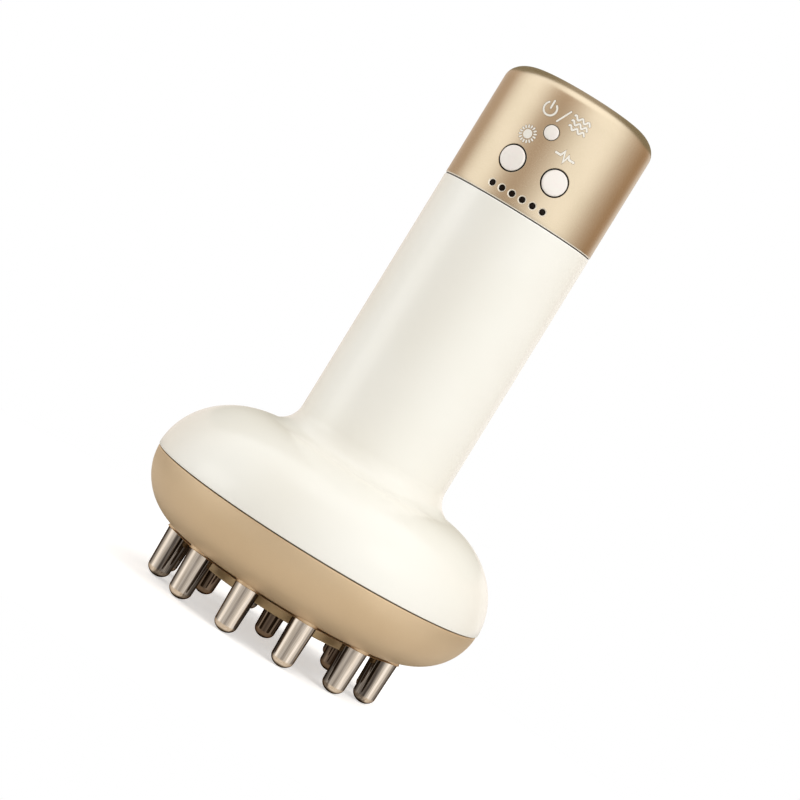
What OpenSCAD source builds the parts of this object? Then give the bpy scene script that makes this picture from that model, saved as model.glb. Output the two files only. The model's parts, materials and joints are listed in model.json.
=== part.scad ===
// Handheld body massager, standing on the tips of its outer rods.
// Z runs up through the grip, the buttons face -Y, and Z = 0 is where the rods touch the table.
// Angles round the grip count from the front, towards +X.

/* [Grip and bell] */
// Outside diameter of the grip and of the cap
handle_d = 43; // [42:0.5:46]
// Wall of the cream moulding
shell_wall = 2.4; // [2:0.1:2.7]
// Height of the cream moulding, from the head's seam to the cap's seam
shell_h = 97; // [94:1:115]
// Widest diameter of the bell, at the head's seam
head_d = 95.5; // [94:0.5:104]
// Height of the bell's shoulder above the head's seam
crown_h = 21; // [20:0.5:23]
// How far the shoulder's crown lies outside the grip
crown_inset = 2.5; // [1.5:0.5:4]
// Radius of the hollow between grip and bell
neck_r = 6.5; // [5:0.5:8]

/* [Base] */
// Depth of the tan base below the head's seam
base_depth = 16.2; // [16:0.1:18]
// Diameter of the flat underside
base_flat_d = 60; // [58:0.5:62]
// Wall of the base
base_wall = 2.2; // [2:0.1:2.4]
// How far the base's edge stands in from the bell's edge
base_step = 0.25; // [0:0.05:0.5]
// Dark gap at each of the two seams
seam_gap = 0.3; // [0.2:0.05:0.5]
// Number of snap hooks round the base
hook_count = 6; // [4:1:8]

/* [Centre plate] */
// Diameter of the raised centre plate
plate_d = 51; // [49:0.5:53]
// Thickness of the centre plate
plate_t = 3.4; // [2.8:0.1:3.8]
// Rounding of the plate's lower edge
plate_edge = 0.6; // [0.3:0.1:1]
// Diameter of the spigot that centres the plate in the base
spigot_d = 9; // [7:0.5:12]

/* [Rods] */
// Number of rods in the outer ring
outer_count = 12; // [8:1:12]
// Diameter of the circle that the outer rods stand on
outer_circle_d = 63.3; // [62:0.1:64]
// Turn of the outer rods against the buttons
outer_turn = 6.2; // [0:0.1:15]
// Outer rod's diameter where it leaves the base
outer_base_d = 6.9; // [6.6:0.1:7.6]
// Outer rod's diameter at its round tip
outer_tip_d = 6.2; // [5.6:0.1:6.8]
// How far the outer rods reach below the flat of the base
outer_reach = 12.8; // [11.5:0.1:15]
// Number of rods in the inner ring
inner_count = 6; // [4:1:7]
// Diameter of the circle that the inner rods stand on
inner_circle_d = 43; // [42.4:0.1:43.4]
// Turn of the inner rods against the buttons
inner_turn = 8; // [0:0.1:15]
// Inner rod's diameter where it leaves the centre plate
inner_base_d = 5.8; // [5.4:0.1:6]
// Inner rod's diameter at its round tip
inner_tip_d = 5.4; // [4.8:0.1:5.6]
// How far the inner rods reach below the centre plate
inner_reach = 6.7; // [5.5:0.1:7.5]
// Height of a rod's round tip against the tip's radius
tip_round = 0.8; // [0.6:0.05:1]
// How deep a rod's shoulder is let into the plastic
rod_seat = 1; // [0.8:0.1:1.2]
// Diameter of the threaded stud behind each rod
stud_d = 3; // [2.8:0.1:3.2]
// Width across the flats of the stud's nut
nut_width = 5.5; // [5.2:0.1:5.6]
// Height of the stud's nut
nut_h = 2.4; // [2:0.1:2.6]

/* [Cap] */
// Height of the metal cap
cap_h = 34.5; // [33:0.5:40]
// Wall of the cap
cap_wall = 1.8; // [1.6:0.1:1.9]
// How far the cap's soft top edge reaches in from the side
cap_edge_in = 7.5; // [5:0.1:8]
// How far the cap's soft top edge reaches down from the top
cap_edge_down = 5.6; // [4:0.1:6]

/* [Buttons and lamps] */
// Diameter of the two large buttons
big_button_d = 6.6; // [6:0.1:7]
// Gap round a large button
big_button_gap = 0.35; // [0.25:0.05:0.4]
// Diameter of the power button
power_button_d = 3.8; // [3.4:0.1:4.4]
// Gap round the power button
power_button_gap = 0.15; // [0.1:0.05:0.25]
// How far a button stands out of the cap at rest
button_proud = 0.3; // [0:0.05:0.45]
// How far a button travels
button_travel = 0.5; // [0.3:0.05:0.55]
// Angle of each large button from the front
big_button_angle = 16.65; // [16.4:0.05:18]
// Angle of the power button from the front
power_button_angle = -2.7; // [-4:0.1:4]
// Height of the large buttons above the cap's seam
big_button_rise = 10.8; // [10.2:0.1:11.5]
// Height of the power button above the cap's seam
power_button_rise = 21; // [20:0.1:23]
// Number of indicator lamps
lamp_count = 6; // [3:1:6]
// Angle between neighbouring lamps
lamp_pitch = 8; // [7:0.1:8.4]
// Diameter of a lamp's hole
lamp_hole_d = 1.6; // [1.3:0.1:1.8]
// Height of the lamps above the cap's seam
lamp_rise = 3.1; // [3:0.1:3.4]
// How far the lamp windows lie below the cap's surface
lamp_recess = 0.4; // [0.2:0.05:0.6]

/* [Switches] */
// Side of a switch housing
switch_w = 5.2; // [4.8:0.1:5.4]
// Height of a switch housing
switch_h = 1.8; // [1.6:0.1:2]
// Diameter of a switch plunger
plunger_d = 2.4; // [2:0.1:2.8]
// Radius of the drum that carries the flexible circuit
drum_r = 13.7; // [13.4:0.1:13.9]
// Thickness of the flexible circuit and its ribbon
flex_t = 0.3; // [0.2:0.05:0.4]

/* [Charging socket] */
// Width of the opening in the cap's back
port_w = 9.8; // [9.4:0.1:10.4]
// Height of the opening in the cap's back
port_h = 3.8; // [3.5:0.1:3.9]
// Height of the socket above the cap's seam
port_rise = 8; // [7:0.1:10]
// Width of the socket's metal shell
socket_w = 8.9; // [8.6:0.1:9]
// Height of the socket's metal shell
socket_h = 3.2; // [3:0.1:3.3]
// Depth of the socket's metal shell
socket_l = 7.3; // [6.5:0.1:8]

/* [Cell and board] */
// Diameter of the lithium cell
cell_d = 18.2; // [17:0.1:18.8]
// Length of the lithium cell
cell_l = 49.8; // [48:0.1:52]
// Width of the control board
board_w = 30; // [26:0.5:31]
// Length of the control board
board_l = 44; // [42:0.5:46]
// Thickness of the control board
board_t = 1.6; // [1:0.1:2]

/* [Motor] */
// Diameter of the motor's can
motor_d = 20.4; // [19:0.1:21]
// Length of the motor's can
motor_l = 25; // [24:0.5:27]
// Diameter of the motor's shaft
shaft_d = 2; // [1.5:0.1:2.3]
// Radius of the off-centre weight
weight_r = 8.5; // [7:0.1:9.5]
// Thickness of the off-centre weight
weight_t = 6; // [4:0.5:7]
// Thickness of the rubber sleeve round the motor
sleeve_t = 0.8; // [0.6:0.1:1]

/* [Fits] */
// Gap between pieces that fit in each other
fit_gap = 0.15; // [0.1:0.01:0.18]
// Radial gap of a turning shaft
turn_gap = 0.05; // [0.02:0.01:0.1]

/* [Hidden] */
$fn = 96;
// Reach of a cutting shape past the face that it cuts
cut = 1;

// Heights of the main faces
base_z = outer_reach;
seam_z = base_z + base_depth;
cap_z = seam_z + shell_h;
top_z = cap_z + cap_h;
plate_z = base_z - plate_t;
floor_z = base_z + base_wall;

// Radii of the grip and the cap
handle_r = handle_d / 2;
bore_r = handle_r - shell_wall;
cap_bore_r = handle_r - cap_wall;

// The bell is a quarter of an ellipse about its crown, joined to the grip by a hollow fillet
crown_r = handle_r + crown_inset;
function bell_a(w) = head_d / 2 - crown_r - w;
function bell_b(w) = crown_h - w;
function bell_point(w, t) = [crown_r + bell_a(w) * sin(t), seam_z + bell_b(w) * cos(t)];
function unit(v) = v / norm(v);
function bell_normal(w, t) = unit([sin(t) / bell_a(w), cos(t) / bell_b(w)]);
function neck_miss(w, t) = bell_point(w, t)[0] + (neck_r + w) * bell_normal(w, t)[0] - handle_r - neck_r;
function neck_touch(w, low = 0, high = 60, steps = 30) = let (t = (low + high) / 2)
    steps == 0 ? t
        : neck_miss(w, t) > 0 ? neck_touch(w, low, t, steps - 1)
        : neck_touch(w, t, high, steps - 1);
function neck_centre(w) = let (t = neck_touch(w)) bell_point(w, t) + (neck_r + w) * bell_normal(w, t);
function bell_radius(w, z) = crown_r + bell_a(w) * sqrt(1 - pow((z - seam_z) / bell_b(w), 2));
function reversed(v) = [for (i = [len(v) - 1:-1:0]) v[i]];
neck_steps = 8;
bell_steps = 20;
neck_z = neck_centre(shell_wall)[1];

// Outline of the cream moulding at depth w under its surface, from the cap's seam down to the head's
function bell_line(w) = let (
        t0 = neck_touch(w), n = bell_normal(w, t0), c = neck_centre(w), turn = atan2(n[1], n[0]),
        t1 = acos(seam_gap / 2 / bell_b(w)))
    concat(
        [[handle_r - w, cap_z - seam_gap / 2]],
        [for (i = [0:neck_steps]) let (s = turn * i / neck_steps) c - (neck_r + w) * [cos(s), sin(s)]],
        [for (i = [1:bell_steps]) bell_point(w, t0 + (t1 - t0) * i / bell_steps)]);

// The base is a quarter of an ellipse below the seam
base_rim_r = head_d / 2 - base_step;
base_flat_r = base_flat_d / 2;
base_steps = 18;
function base_a(w) = base_rim_r - base_flat_r - w;
function base_b(w) = base_depth - w;
function base_line(w, t0) = let (t1 = acos(seam_gap / 2 / base_b(w)))
    [for (i = [0:base_steps]) let (t = t0 + (t1 - t0) * i / base_steps)
        [base_flat_r + base_a(w) * sin(t), seam_z - base_b(w) * cos(t)]];

// The flat floor inside the base carries film, contact rings and nuts
film_t = 0.3;
contact_t = 0.8;
ring_margin = 0.5;
stud_end = 0.5;
nut_corner_r = nut_width / sqrt(3);
outer_circle_r = outer_circle_d / 2;
inner_circle_r = inner_circle_d / 2;
contact_z = floor_z + film_t;
nut_z = contact_z + contact_t;
stud_top_z = nut_z + nut_h + stud_end;
contact_half = nut_corner_r - 0.3;
film_out_r = outer_circle_r + contact_half + ring_margin;
film_in_r = inner_circle_r - contact_half - ring_margin;
floor_r = film_out_r + ring_margin;
floor_turn = asin((floor_r - base_flat_r) / base_a(base_wall));
stud_hole_d = stud_d + 0.2;

// Tongue, snap hooks and gasket between bell and base
gasket_d = 1.2;
tongue_r = bell_radius(shell_wall, seam_z + 2) - 0.2;
tongue_t = 1.9;
tongue_h = 2.2;
tongue_root = 3;
tongue_foot = 0.8;
hook_r = tongue_r - 1.65;
hook_t = 1.5;
hook_turn = 14;
hook_catch = 0.8;
hook_slope = 1.9;
hook_tip = 2.4;
ledge_z = seam_z + 3.2;
ledge_t = 1.4;
catch_z = ledge_z + ledge_t + fit_gap;

// Cap frame, which joins cap and grip
plug_h = 5;
plug_t = 1.65;
plug_r = bore_r - fit_gap;
spigot_r = cap_bore_r - fit_gap;
spigot_t = 1.65;
spigot_h = 1.25;
frame_floor_z = cap_z - plug_h;
frame_floor_t = 1.6;
rim_r = handle_r - 0.25;
tongue_half_turn = 10;
frame_tongue_h = 10;
tongue_gaps = [[60, 120], [120, 240], [240, 300], [300, 420]];
bead_rise = 7;
bead_t = 1;
bead_out = 0.3;
rail_w = 2.5;
rail_l = 8;
ribbon_w = 8;
ribbon_gap = 0.02;
ribbon_slot_in = 0.6;
lead_hole_r = 5;
drum_t = 1.6;
drum_over = 1;
drum_half_turn = 62;
flex_r = drum_r + flex_t;
flex_half_turn = 32;
flex_top_z = cap_z + power_button_rise + 4;
flex_low_z = cap_z - 2;

// Screw bosses under the cap frame
boss_r = 3.2;
boss_h = 6;
boss_floor = 1;
boss_x = bore_r - 4.5;
pilot_d = 1.7;
screw_d = 1.6;
screw_hole_d = screw_d + 0.4;

// Button stack along the button's own radius
switch_sink = 0.4;
button_flange_t = 0.9;
button_flange_out = 0.9;
button_edge = 0.45;
button_crown = 0.12;
button_face_r = handle_r + button_proud;
big_button_r = big_button_d / 2;
power_button_r = power_button_d / 2;
flange_rest_gap = 0.3;
function chord_r(r, half_w) = sqrt(r * r - half_w * half_w);
function flange_face_r(stem_r) = chord_r(cap_bore_r, stem_r + button_flange_out) - flange_rest_gap;
plunger_up = 1.2;
plunger_down = 0.8;
switch_top_r = flex_r + switch_h;
button_foot_r = switch_top_r + plunger_up;
plunger_gap = 0.1;

// Lamp windows
guide_t = 1.2;
guide_r = cap_bore_r - 0.2;
guide_h = 3;
guide_margin = 2.6;
led_w = 1.6;
led_t = 0.6;
led_h = 0.8;
function lamp_angle(i) = (i - (lamp_count - 1) / 2) * lamp_pitch;

// Charging socket
port_z = cap_z + port_rise;
charge_board_t = 1;
charge_board_w = 14;
charge_board_l = 12;
charge_board_y = chord_r(cap_bore_r, charge_board_w / 2) - 0.5;
charge_board_z = port_z - socket_h / 2 - charge_board_t;
rail_y = charge_board_y - rail_l - 2;
socket_y = chord_r(cap_bore_r, socket_w / 2) - 0.2;
socket_wall = 0.3;

// Chassis with cell and board
chassis_z = neck_z;
disc_t = 1.6;
disc_r = bore_r - 0.2;
tab_t = 0.3;
tab_gap = 0.02;
cell_end_gap = 0.8;
chassis_h = 2 * disc_t + 2 * (tab_t + tab_gap) + cell_l + cell_end_gap;
chassis_top_z = chassis_z + chassis_h;
spine_t = 1.6;
spine_w = 22;
spine_back_y = -1.8;
spine_front_y = spine_back_y - spine_t;
cell_gap = 0.3;
cell_y = spine_back_y + cell_gap + cell_d / 2;
cell_z = chassis_z + disc_t + tab_t + tab_gap;
saddle_t = 2;
post_l = 1.9;
post_r = 2;
board_back_y = spine_front_y - post_l;
board_front_y = board_back_y - board_t;
board_z = chassis_z + disc_t + 2;
ribbon_plug_w = 10;
ribbon_plug_h = 1;
ribbon_plug_l = 3.5;
ribbon_plug_z = board_z + board_l - 5;
board_screw_x = 9;
board_screw_low = 3;
board_screw_top = 7;
function board_posts() = [for (s = [-1, 1]) for (z = [board_screw_low, board_l - board_screw_top])
    [s * board_screw_x, board_z + z]];
ledge_in = 1.9;
leg_r = 2;
leg_x = 6;
leg_y = plug_r - 4.6;
leg_gap = 0.1;
chassis_ledge_t = 1.5;

// Motor, lying across the head
boss_up = stud_top_z + 1 - floor_z;
cradle_boss_r = (outer_circle_r + inner_circle_r) / 2;
cradle_boss_out_r = 2;
cradle_hole = cradle_boss_r * sin(45);
cradle_z = floor_z + boss_up;
cradle_t = 1.6;
cradle_w = 2 * cradle_hole + 6;
saddle_floor = 1;
sleeve_r = motor_d / 2 + sleeve_t;
motor_gap = 0.05;
motor_z = cradle_z + cradle_t + saddle_floor + sleeve_r + motor_gap;
motor_x = -14.5;
motor_front_x = motor_x + motor_l;
end_cap_t = 2.5;
terminal_y = 5;
sleeve_x = motor_x + 3.5;
sleeve_l = 18;
rib_t = 3;
rib_xs = [sleeve_x + 0.5, sleeve_x + sleeve_l - rib_t - 0.5];
ear_y = sleeve_r + 3;
ear_out = 2.4;
clamp_t = 1.4;
clamp_ear_t = 1.8;
clamp_gap = 0.1;
shaft_r = shaft_d / 2;
shaft_tail_x = motor_x + end_cap_t + 1;
nose_r = 3;
nose_l = 1.2;
weight_x = motor_front_x + nose_l + 1;
weight_hub_r = 3;
shaft_end_x = weight_x + weight_t + 1;

// Wires, and the three plugs where they meet the control board
wire_d = 1.3;
wire_sides = 8;
wire_steps = 3;
wire_pair = 0.9;
plug_w = 5;
plug_out = 3.5;
plug_rise = 6;
plug_pitch = 5.5;
plug_z = board_z + plug_rise;

// Puts its child, drawn along Z, on the grip's radius at this angle and height
module radial(angle, z) {
    translate([0, 0, z]) rotate([0, 0, angle]) rotate([90, 0, 0]) children();
}

// Tube or disc standing on the height z
module tube(z, h, outer, inner = 0) {
    translate([0, 0, z]) difference() {
        cylinder(r = outer, h = h);
        if (inner > 0) translate([0, 0, -cut]) cylinder(r = inner, h = h + 2 * cut);
    }
}

// Part of a tube between two angles from the front
module arc_tube(z, h, outer, inner, from, to) {
    translate([0, 0, z]) rotate([0, 0, from - 90])
        rotate_extrude(angle = to - from) translate([inner, 0]) square([outer - inner, h]);
}

// Copies its child round the head at a rod circle
module round_circle(count, r, turn) {
    for (i = [0:count - 1]) rotate([0, 0, turn + i * 360 / count]) translate([0, -r, 0]) children();
}

module outer_places() {
    round_circle(outer_count, outer_circle_r, outer_turn + 180 / outer_count) children();
}

module inner_places() {
    round_circle(inner_count, inner_circle_r, inner_turn) children();
}

// Copies its child to the four bosses under the motor's cradle
module cradle_corners() {
    for (x = [-1, 1]) for (y = [-1, 1]) translate([x * cradle_hole, y * cradle_hole, 0]) children();
}

// Pan-head screw with a cross recess, its head standing on Z = 0
module screw(length, head_d = 3.6, head_h = 1.3) {
    recess_w = 0.5;
    recess_h = 0.7;
    difference() {
        union() {
            cylinder(d1 = head_d, d2 = head_d - 0.8, h = head_h);
            translate([0, 0, -length]) cylinder(d = screw_d, h = length + 0.1);
        }
        for (a = [0, 90]) rotate([0, 0, a])
            translate([-head_d / 4, -recess_w / 2, head_h - recess_h])
                cube([head_d / 2, recess_w, recess_h + cut]);
    }
}

// Smooth run through a route's points
function bend(p, i, t) = let (
        a = p[max(i - 1, 0)], b = p[i], c = p[i + 1], d = p[min(i + 2, len(p) - 1)])
    0.5 * (2 * b + (c - a) * t + (2 * a - 5 * b + 4 * c - d) * t * t + (3 * b - a - 3 * c + d) * t * t * t);
function smooth(p) = concat(
    [for (i = [0:len(p) - 2]) for (k = [0:wire_steps - 1]) bend(p, i, k / wire_steps)],
    [p[len(p) - 1]]);
function heading(p, i) = unit(p[min(i + 1, len(p) - 1)] - p[max(i - 1, 0)]);

// Round wire swept along a route
module wire(route) {
    p = smooth(route);
    n = wire_sides;
    side = [0.93, 0.36, 0.05];
    points = [for (i = [0:len(p) - 1]) let (h = heading(p, i), u = unit(cross(h, side)), v = cross(h, u))
        for (k = [0:n - 1]) p[i] + wire_d / 2 * (cos(360 * k / n) * u + sin(360 * k / n) * v)];
    last = (len(p) - 1) * n;
    sides = [for (i = [0:len(p) - 2]) for (k = [0:n - 1])
        [i * n + k, i * n + (k + 1) % n, (i + 1) * n + (k + 1) % n, (i + 1) * n + k]];
    polyhedron(points, concat(
        [for (f = sides) [f[0], f[1], f[2]]], [for (f = sides) [f[0], f[2], f[3]]],
        [[for (k = [n - 1:-1:0]) k], [for (k = [0:n - 1]) last + k]]), convexity = 4);
}

// Cap

module button_hole(angle, z, r) {
    radial(angle, z) cylinder(r = r, h = handle_r + cut);
}

module end_cap() {
    low = cap_z + seam_gap / 2;
    edge_x = handle_r - cap_edge_in;
    edge_z = top_z - cap_edge_down;
    inner_in = cap_edge_in - cap_wall;
    inner_down = cap_edge_down - cap_wall;
    chamfer = 0.25;
    color([0.80, 0.70, 0.55]) difference() {
        rotate_extrude() polygon(concat(
            [[cap_bore_r, low], [handle_r, low]],
            [for (a = [0:9:90]) [edge_x + cap_edge_in * cos(a), edge_z + cap_edge_down * sin(a)]],
            [[0, top_z], [0, top_z - cap_wall]],
            [for (a = [90:-9:0]) [edge_x + inner_in * cos(a), edge_z + inner_down * sin(a)]]));
        button_hole(power_button_angle, cap_z + power_button_rise, power_button_r + power_button_gap);
        for (s = [-1, 1])
            button_hole(s * big_button_angle, cap_z + big_button_rise, big_button_r + big_button_gap);
        for (i = [0:lamp_count - 1]) {
            button_hole(lamp_angle(i), cap_z + lamp_rise, lamp_hole_d / 2);
            radial(lamp_angle(i), cap_z + lamp_rise) translate([0, 0, handle_r - chamfer])
                cylinder(r1 = lamp_hole_d / 2, r2 = lamp_hole_d / 2 + 2 * chamfer, h = 2 * chamfer);
        }
        tube(cap_z + bead_rise - fit_gap, bead_t + 2 * fit_gap, cap_bore_r + bead_out, cap_bore_r - cut);
        radial(180, port_z) translate([0, 0, cap_bore_r - 2 * cut])
            linear_extrude(cap_wall + 4 * cut) stadium(port_w, port_h);
    }
}

module stadium(w, h) {
    square([w - h, h], center = true);
    for (s = [-1, 1]) translate([s * (w - h) / 2, 0]) circle(d = h);
}

// Buttons and switches

module push_button(angle, z, stem_r) {
    flange_r = stem_r + button_flange_out;
    face = flange_face_r(stem_r);
    top = button_face_r;
    edge = min(button_edge, stem_r / 3);
    radial(angle, z) rotate_extrude() polygon(concat(
        [[0, button_foot_r], [plunger_d / 2, button_foot_r], [plunger_d / 2, face - button_flange_t],
            [flange_r, face - button_flange_t], [flange_r, face], [stem_r, face]],
        [for (a = [0:15:75]) [stem_r - edge + edge * cos(a), top - edge + edge * sin(a)]],
        [[stem_r - edge, top], [stem_r / 2, top + button_crown * 0.75], [0, top + button_crown]]));
}

module switch_plunger(angle, z) {
    radial(angle, z) translate([0, 0, switch_top_r - plunger_down])
        cylinder(d = plunger_d, h = plunger_up + plunger_down);
}

module switch_body(angle, z) {
    difference() {
        radial(angle, z) translate([0, 0, switch_top_r]) difference() {
            translate([-switch_w / 2, -switch_w / 2, -switch_h - switch_sink])
                cube([switch_w, switch_w, switch_h + switch_sink]);
            translate([0, 0, -plunger_down - button_travel - plunger_gap])
                cylinder(d = plunger_d + 2 * plunger_gap, h = switch_h);
        }
        tube(z - switch_w, 2 * switch_w, flex_r);
    }
}

module power_button() {
    color([0.93, 0.92, 0.88]) push_button(power_button_angle, cap_z + power_button_rise, power_button_r);
}

module heat_button() {
    color([0.93, 0.92, 0.88]) push_button(-big_button_angle, cap_z + big_button_rise, big_button_r);
}

module pulse_button() {
    color([0.93, 0.92, 0.88]) push_button(big_button_angle, cap_z + big_button_rise, big_button_r);
}

module power_plunger() {
    color("black") switch_plunger(power_button_angle, cap_z + power_button_rise);
}

module heat_plunger() {
    color("black") switch_plunger(-big_button_angle, cap_z + big_button_rise);
}

module pulse_plunger() {
    color("black") switch_plunger(big_button_angle, cap_z + big_button_rise);
}

module switch_bodies() {
    color([0.25, 0.25, 0.27]) {
        switch_body(power_button_angle, cap_z + power_button_rise);
        for (s = [-1, 1]) switch_body(s * big_button_angle, cap_z + big_button_rise);
    }
}

module switch_flex() {
    color([0.75, 0.45, 0.15])
        arc_tube(flex_low_z, flex_top_z - flex_low_z, flex_r, drum_r, -flex_half_turn, flex_half_turn);
}

// Ribbon from the flexible circuit down to the control board's upper edge
module flex_ribbon() {
    y0 = -flex_r;
    y1 = board_front_y - ribbon_plug_h;
    bend_z = frame_floor_z - 3;
    low_z = ribbon_plug_z + ribbon_plug_l - 1.5;
    knee_z = low_z + 4;
    color([0.75, 0.45, 0.15]) translate([-ribbon_w / 2, 0, 0]) rotate([90, 0, 90]) linear_extrude(ribbon_w)
        polygon([[y0, flex_low_z], [y0, bend_z], [y1 - flex_t, knee_z], [y1 - flex_t, low_z],
            [y1, low_z], [y1, knee_z], [y0 + flex_t, bend_z], [y0 + flex_t, flex_low_z]]);
}

module light_guide() {
    half_turn = lamp_angle(lamp_count - 1) + guide_margin;
    z = cap_z + lamp_rise;
    color([0.12, 0.10, 0.09]) {
        arc_tube(z - guide_h / 2, guide_h, guide_r, guide_r - guide_t, -half_turn, half_turn);
        for (i = [0:lamp_count - 1]) radial(lamp_angle(i), z) translate([0, 0, guide_r - guide_t / 2])
            cylinder(d = lamp_hole_d - 0.1, h = handle_r - lamp_recess - guide_r + guide_t / 2);
    }
}

module indicator_leds() {
    color([0.95, 0.9, 0.6]) for (i = [0:lamp_count - 1]) difference() {
        radial(lamp_angle(i), cap_z + lamp_rise) translate([-led_w / 2, -led_h / 2, flex_r - led_t])
            cube([led_w, led_h, 2 * led_t]);
        tube(cap_z, 2 * lamp_rise, flex_r);
    }
}

// Cap frame

module cap_frame() {
    low = cap_z - seam_gap / 2;
    high = cap_z + seam_gap / 2;
    floor_top_z = frame_floor_z + frame_floor_t;
    bead_z = cap_z + bead_rise;
    tongue_top_z = cap_z + frame_tongue_h;
    inner_r = spigot_r - spigot_t;
    lead_in = 0.4;
    color([0.16, 0.15, 0.14]) difference() {
        union() {
            rotate_extrude() polygon([
                [0, frame_floor_z], [plug_r, frame_floor_z], [plug_r, low], [rim_r, low], [rim_r, high],
                [spigot_r, high], [spigot_r, bead_z], [spigot_r + bead_out, bead_z + bead_t / 3],
                [spigot_r, bead_z + bead_t], [spigot_r, tongue_top_z - lead_in],
                [spigot_r - lead_in, tongue_top_z], [inner_r, tongue_top_z], [inner_r, high],
                [plug_r - plug_t, low - plug_t], [plug_r - plug_t, floor_top_z], [0, floor_top_z]]);
            arc_tube(frame_floor_z, flex_top_z + drum_over - frame_floor_z, drum_r, drum_r - drum_t,
                -drum_half_turn, drum_half_turn);
            for (s = [-1, 1])
                translate([s * (charge_board_w - rail_w) / 2 - rail_w / 2, rail_y, frame_floor_z])
                    cube([rail_w, rail_l, charge_board_z - frame_floor_z]);
            for (s = [-1, 1]) translate([s * leg_x, leg_y, chassis_top_z + leg_gap])
                cylinder(r = leg_r, h = floor_top_z - frame_floor_t / 2 - chassis_top_z - leg_gap);
        }
        for (a = tongue_gaps)
            arc_tube(high + spigot_h, frame_tongue_h, spigot_r + cut, inner_r - 0.2,
                a[0] + tongue_half_turn, a[1] - tongue_half_turn);
        translate([0, 0, frame_floor_z - cut]) cylinder(r = lead_hole_r, h = frame_floor_t + 2 * cut);
        for (s = [-1, 1]) translate([s * boss_x, 0, frame_floor_z - cut])
            cylinder(d = screw_hole_d, h = 2 * plug_h);
        translate([-ribbon_w / 2 - 1, -flex_r - ribbon_slot_in, frame_floor_z - cut])
            cube([ribbon_w + 2, ribbon_slot_in + flex_t + ribbon_gap, frame_floor_t + 2 * cut]);
    }
}

module frame_screws() {
    color("silver") for (s = [-1, 1])
        translate([s * boss_x, 0, frame_floor_z + frame_floor_t])
            screw(frame_floor_t + boss_h - boss_floor - 0.1, head_d = 3.4);
}

// Charging socket

module charging_socket() {
    inner_w = socket_w - 2 * socket_wall;
    inner_h = socket_h - 2 * socket_wall;
    back_t = 1;
    blade = [6.6, 0.7, socket_l - 1.5];
    color("silver") radial(180, port_z) translate([0, 0, socket_y - socket_l]) {
        difference() {
            linear_extrude(socket_l) stadium(socket_w, socket_h);
            translate([0, 0, back_t]) linear_extrude(socket_l) stadium(inner_w, inner_h);
        }
        translate([-blade[0] / 2, -blade[1] / 2, back_t / 2]) cube(blade);
    }
}

module charging_board() {
    color("darkgreen") translate([-charge_board_w / 2, charge_board_y - charge_board_l, charge_board_z])
        cube([charge_board_w, charge_board_l, charge_board_t]);
}

// Grip and bell

module frame_boss(side) {
    z = frame_floor_z - boss_h;
    translate([side * boss_x, 0, z]) cylinder(r = boss_r, h = boss_h);
    translate([side > 0 ? boss_x : -bore_r - shell_wall / 2, -boss_r / 2, z])
        cube([bore_r + shell_wall / 2 - boss_x, boss_r, boss_h]);
}

module handle_shell() {
    rebate_r = tongue_r + gasket_d + 0.25;
    rebate_h = gasket_d + 0.15;
    ledge_outer_r = bell_radius(shell_wall, ledge_z) + shell_wall / 2;
    color([0.96, 0.95, 0.91]) difference() {
        union() {
            rotate_extrude() polygon(concat(bell_line(0), reversed(bell_line(shell_wall))));
            tube(ledge_z, ledge_t, ledge_outer_r, hook_r + fit_gap);
            tube(chassis_z - chassis_ledge_t, chassis_ledge_t, bore_r + shell_wall / 2, bore_r - ledge_in);
            for (s = [-1, 1]) frame_boss(s);
        }
        tube(seam_z - cut, rebate_h + seam_gap / 2 + cut, rebate_r, tongue_r - cut);
        for (s = [-1, 1]) translate([s * boss_x, 0, frame_floor_z - boss_h + boss_floor])
            cylinder(d = pilot_d, h = boss_h);
    }
}

// Chassis, cell and board

module chassis_disc(z) {
    window_w = 18;
    notch_r = boss_r + 0.4;
    difference() {
        tube(z, disc_t, disc_r);
        for (s = [-1, 1]) translate([s * boss_x, 0, z - cut]) {
            cylinder(r = notch_r, h = disc_t + 2 * cut);
            translate([s > 0 ? 0 : -bore_r, -notch_r, 0]) cube([bore_r, 2 * notch_r, disc_t + 2 * cut]);
        }
        translate([-window_w / 2, -bore_r - cut, z - cut])
            cube([window_w, bore_r + cut + board_front_y - 1, disc_t + 2 * cut]);
    }
}

module chassis() {
    inner_z = chassis_z + disc_t;
    inner_h = chassis_h - 2 * disc_t;
    saddle_inset = 4;
    saddle_pitch = (inner_h - 2 * saddle_inset - 2 * tab_t - saddle_t) / 2;
    color([0.9, 0.9, 0.88]) difference() {
        union() {
            chassis_disc(chassis_z);
            chassis_disc(chassis_top_z - disc_t);
            translate([-spine_w / 2, spine_front_y, chassis_z]) cube([spine_w, spine_t, chassis_h]);
            for (k = [0:2]) translate([0, 0, inner_z + tab_t + saddle_inset + k * saddle_pitch])
                linear_extrude(saddle_t) difference() {
                    translate([-spine_w / 2, spine_back_y - 0.1]) square([spine_w, cell_d / 3]);
                    translate([0, cell_y]) circle(r = cell_d / 2 + 0.1);
                }
            for (p = board_posts()) translate([p[0], spine_front_y, p[1]])
                rotate([90, 0, 0]) cylinder(r = post_r, h = post_l);
        }
        for (p = board_posts()) translate([p[0], spine_back_y + cut, p[1]])
            rotate([90, 0, 0]) cylinder(d = pilot_d, h = spine_t + post_l + 2 * cut);
    }
}

module battery_cell() {
    crimp = 0.5;
    r = cell_d / 2;
    color([0.25, 0.45, 0.75]) translate([0, cell_y, cell_z]) rotate_extrude() polygon([
        [0, 0], [r - crimp, 0], [r, crimp], [r, cell_l - crimp], [r - crimp, cell_l], [0, cell_l]]);
}

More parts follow.
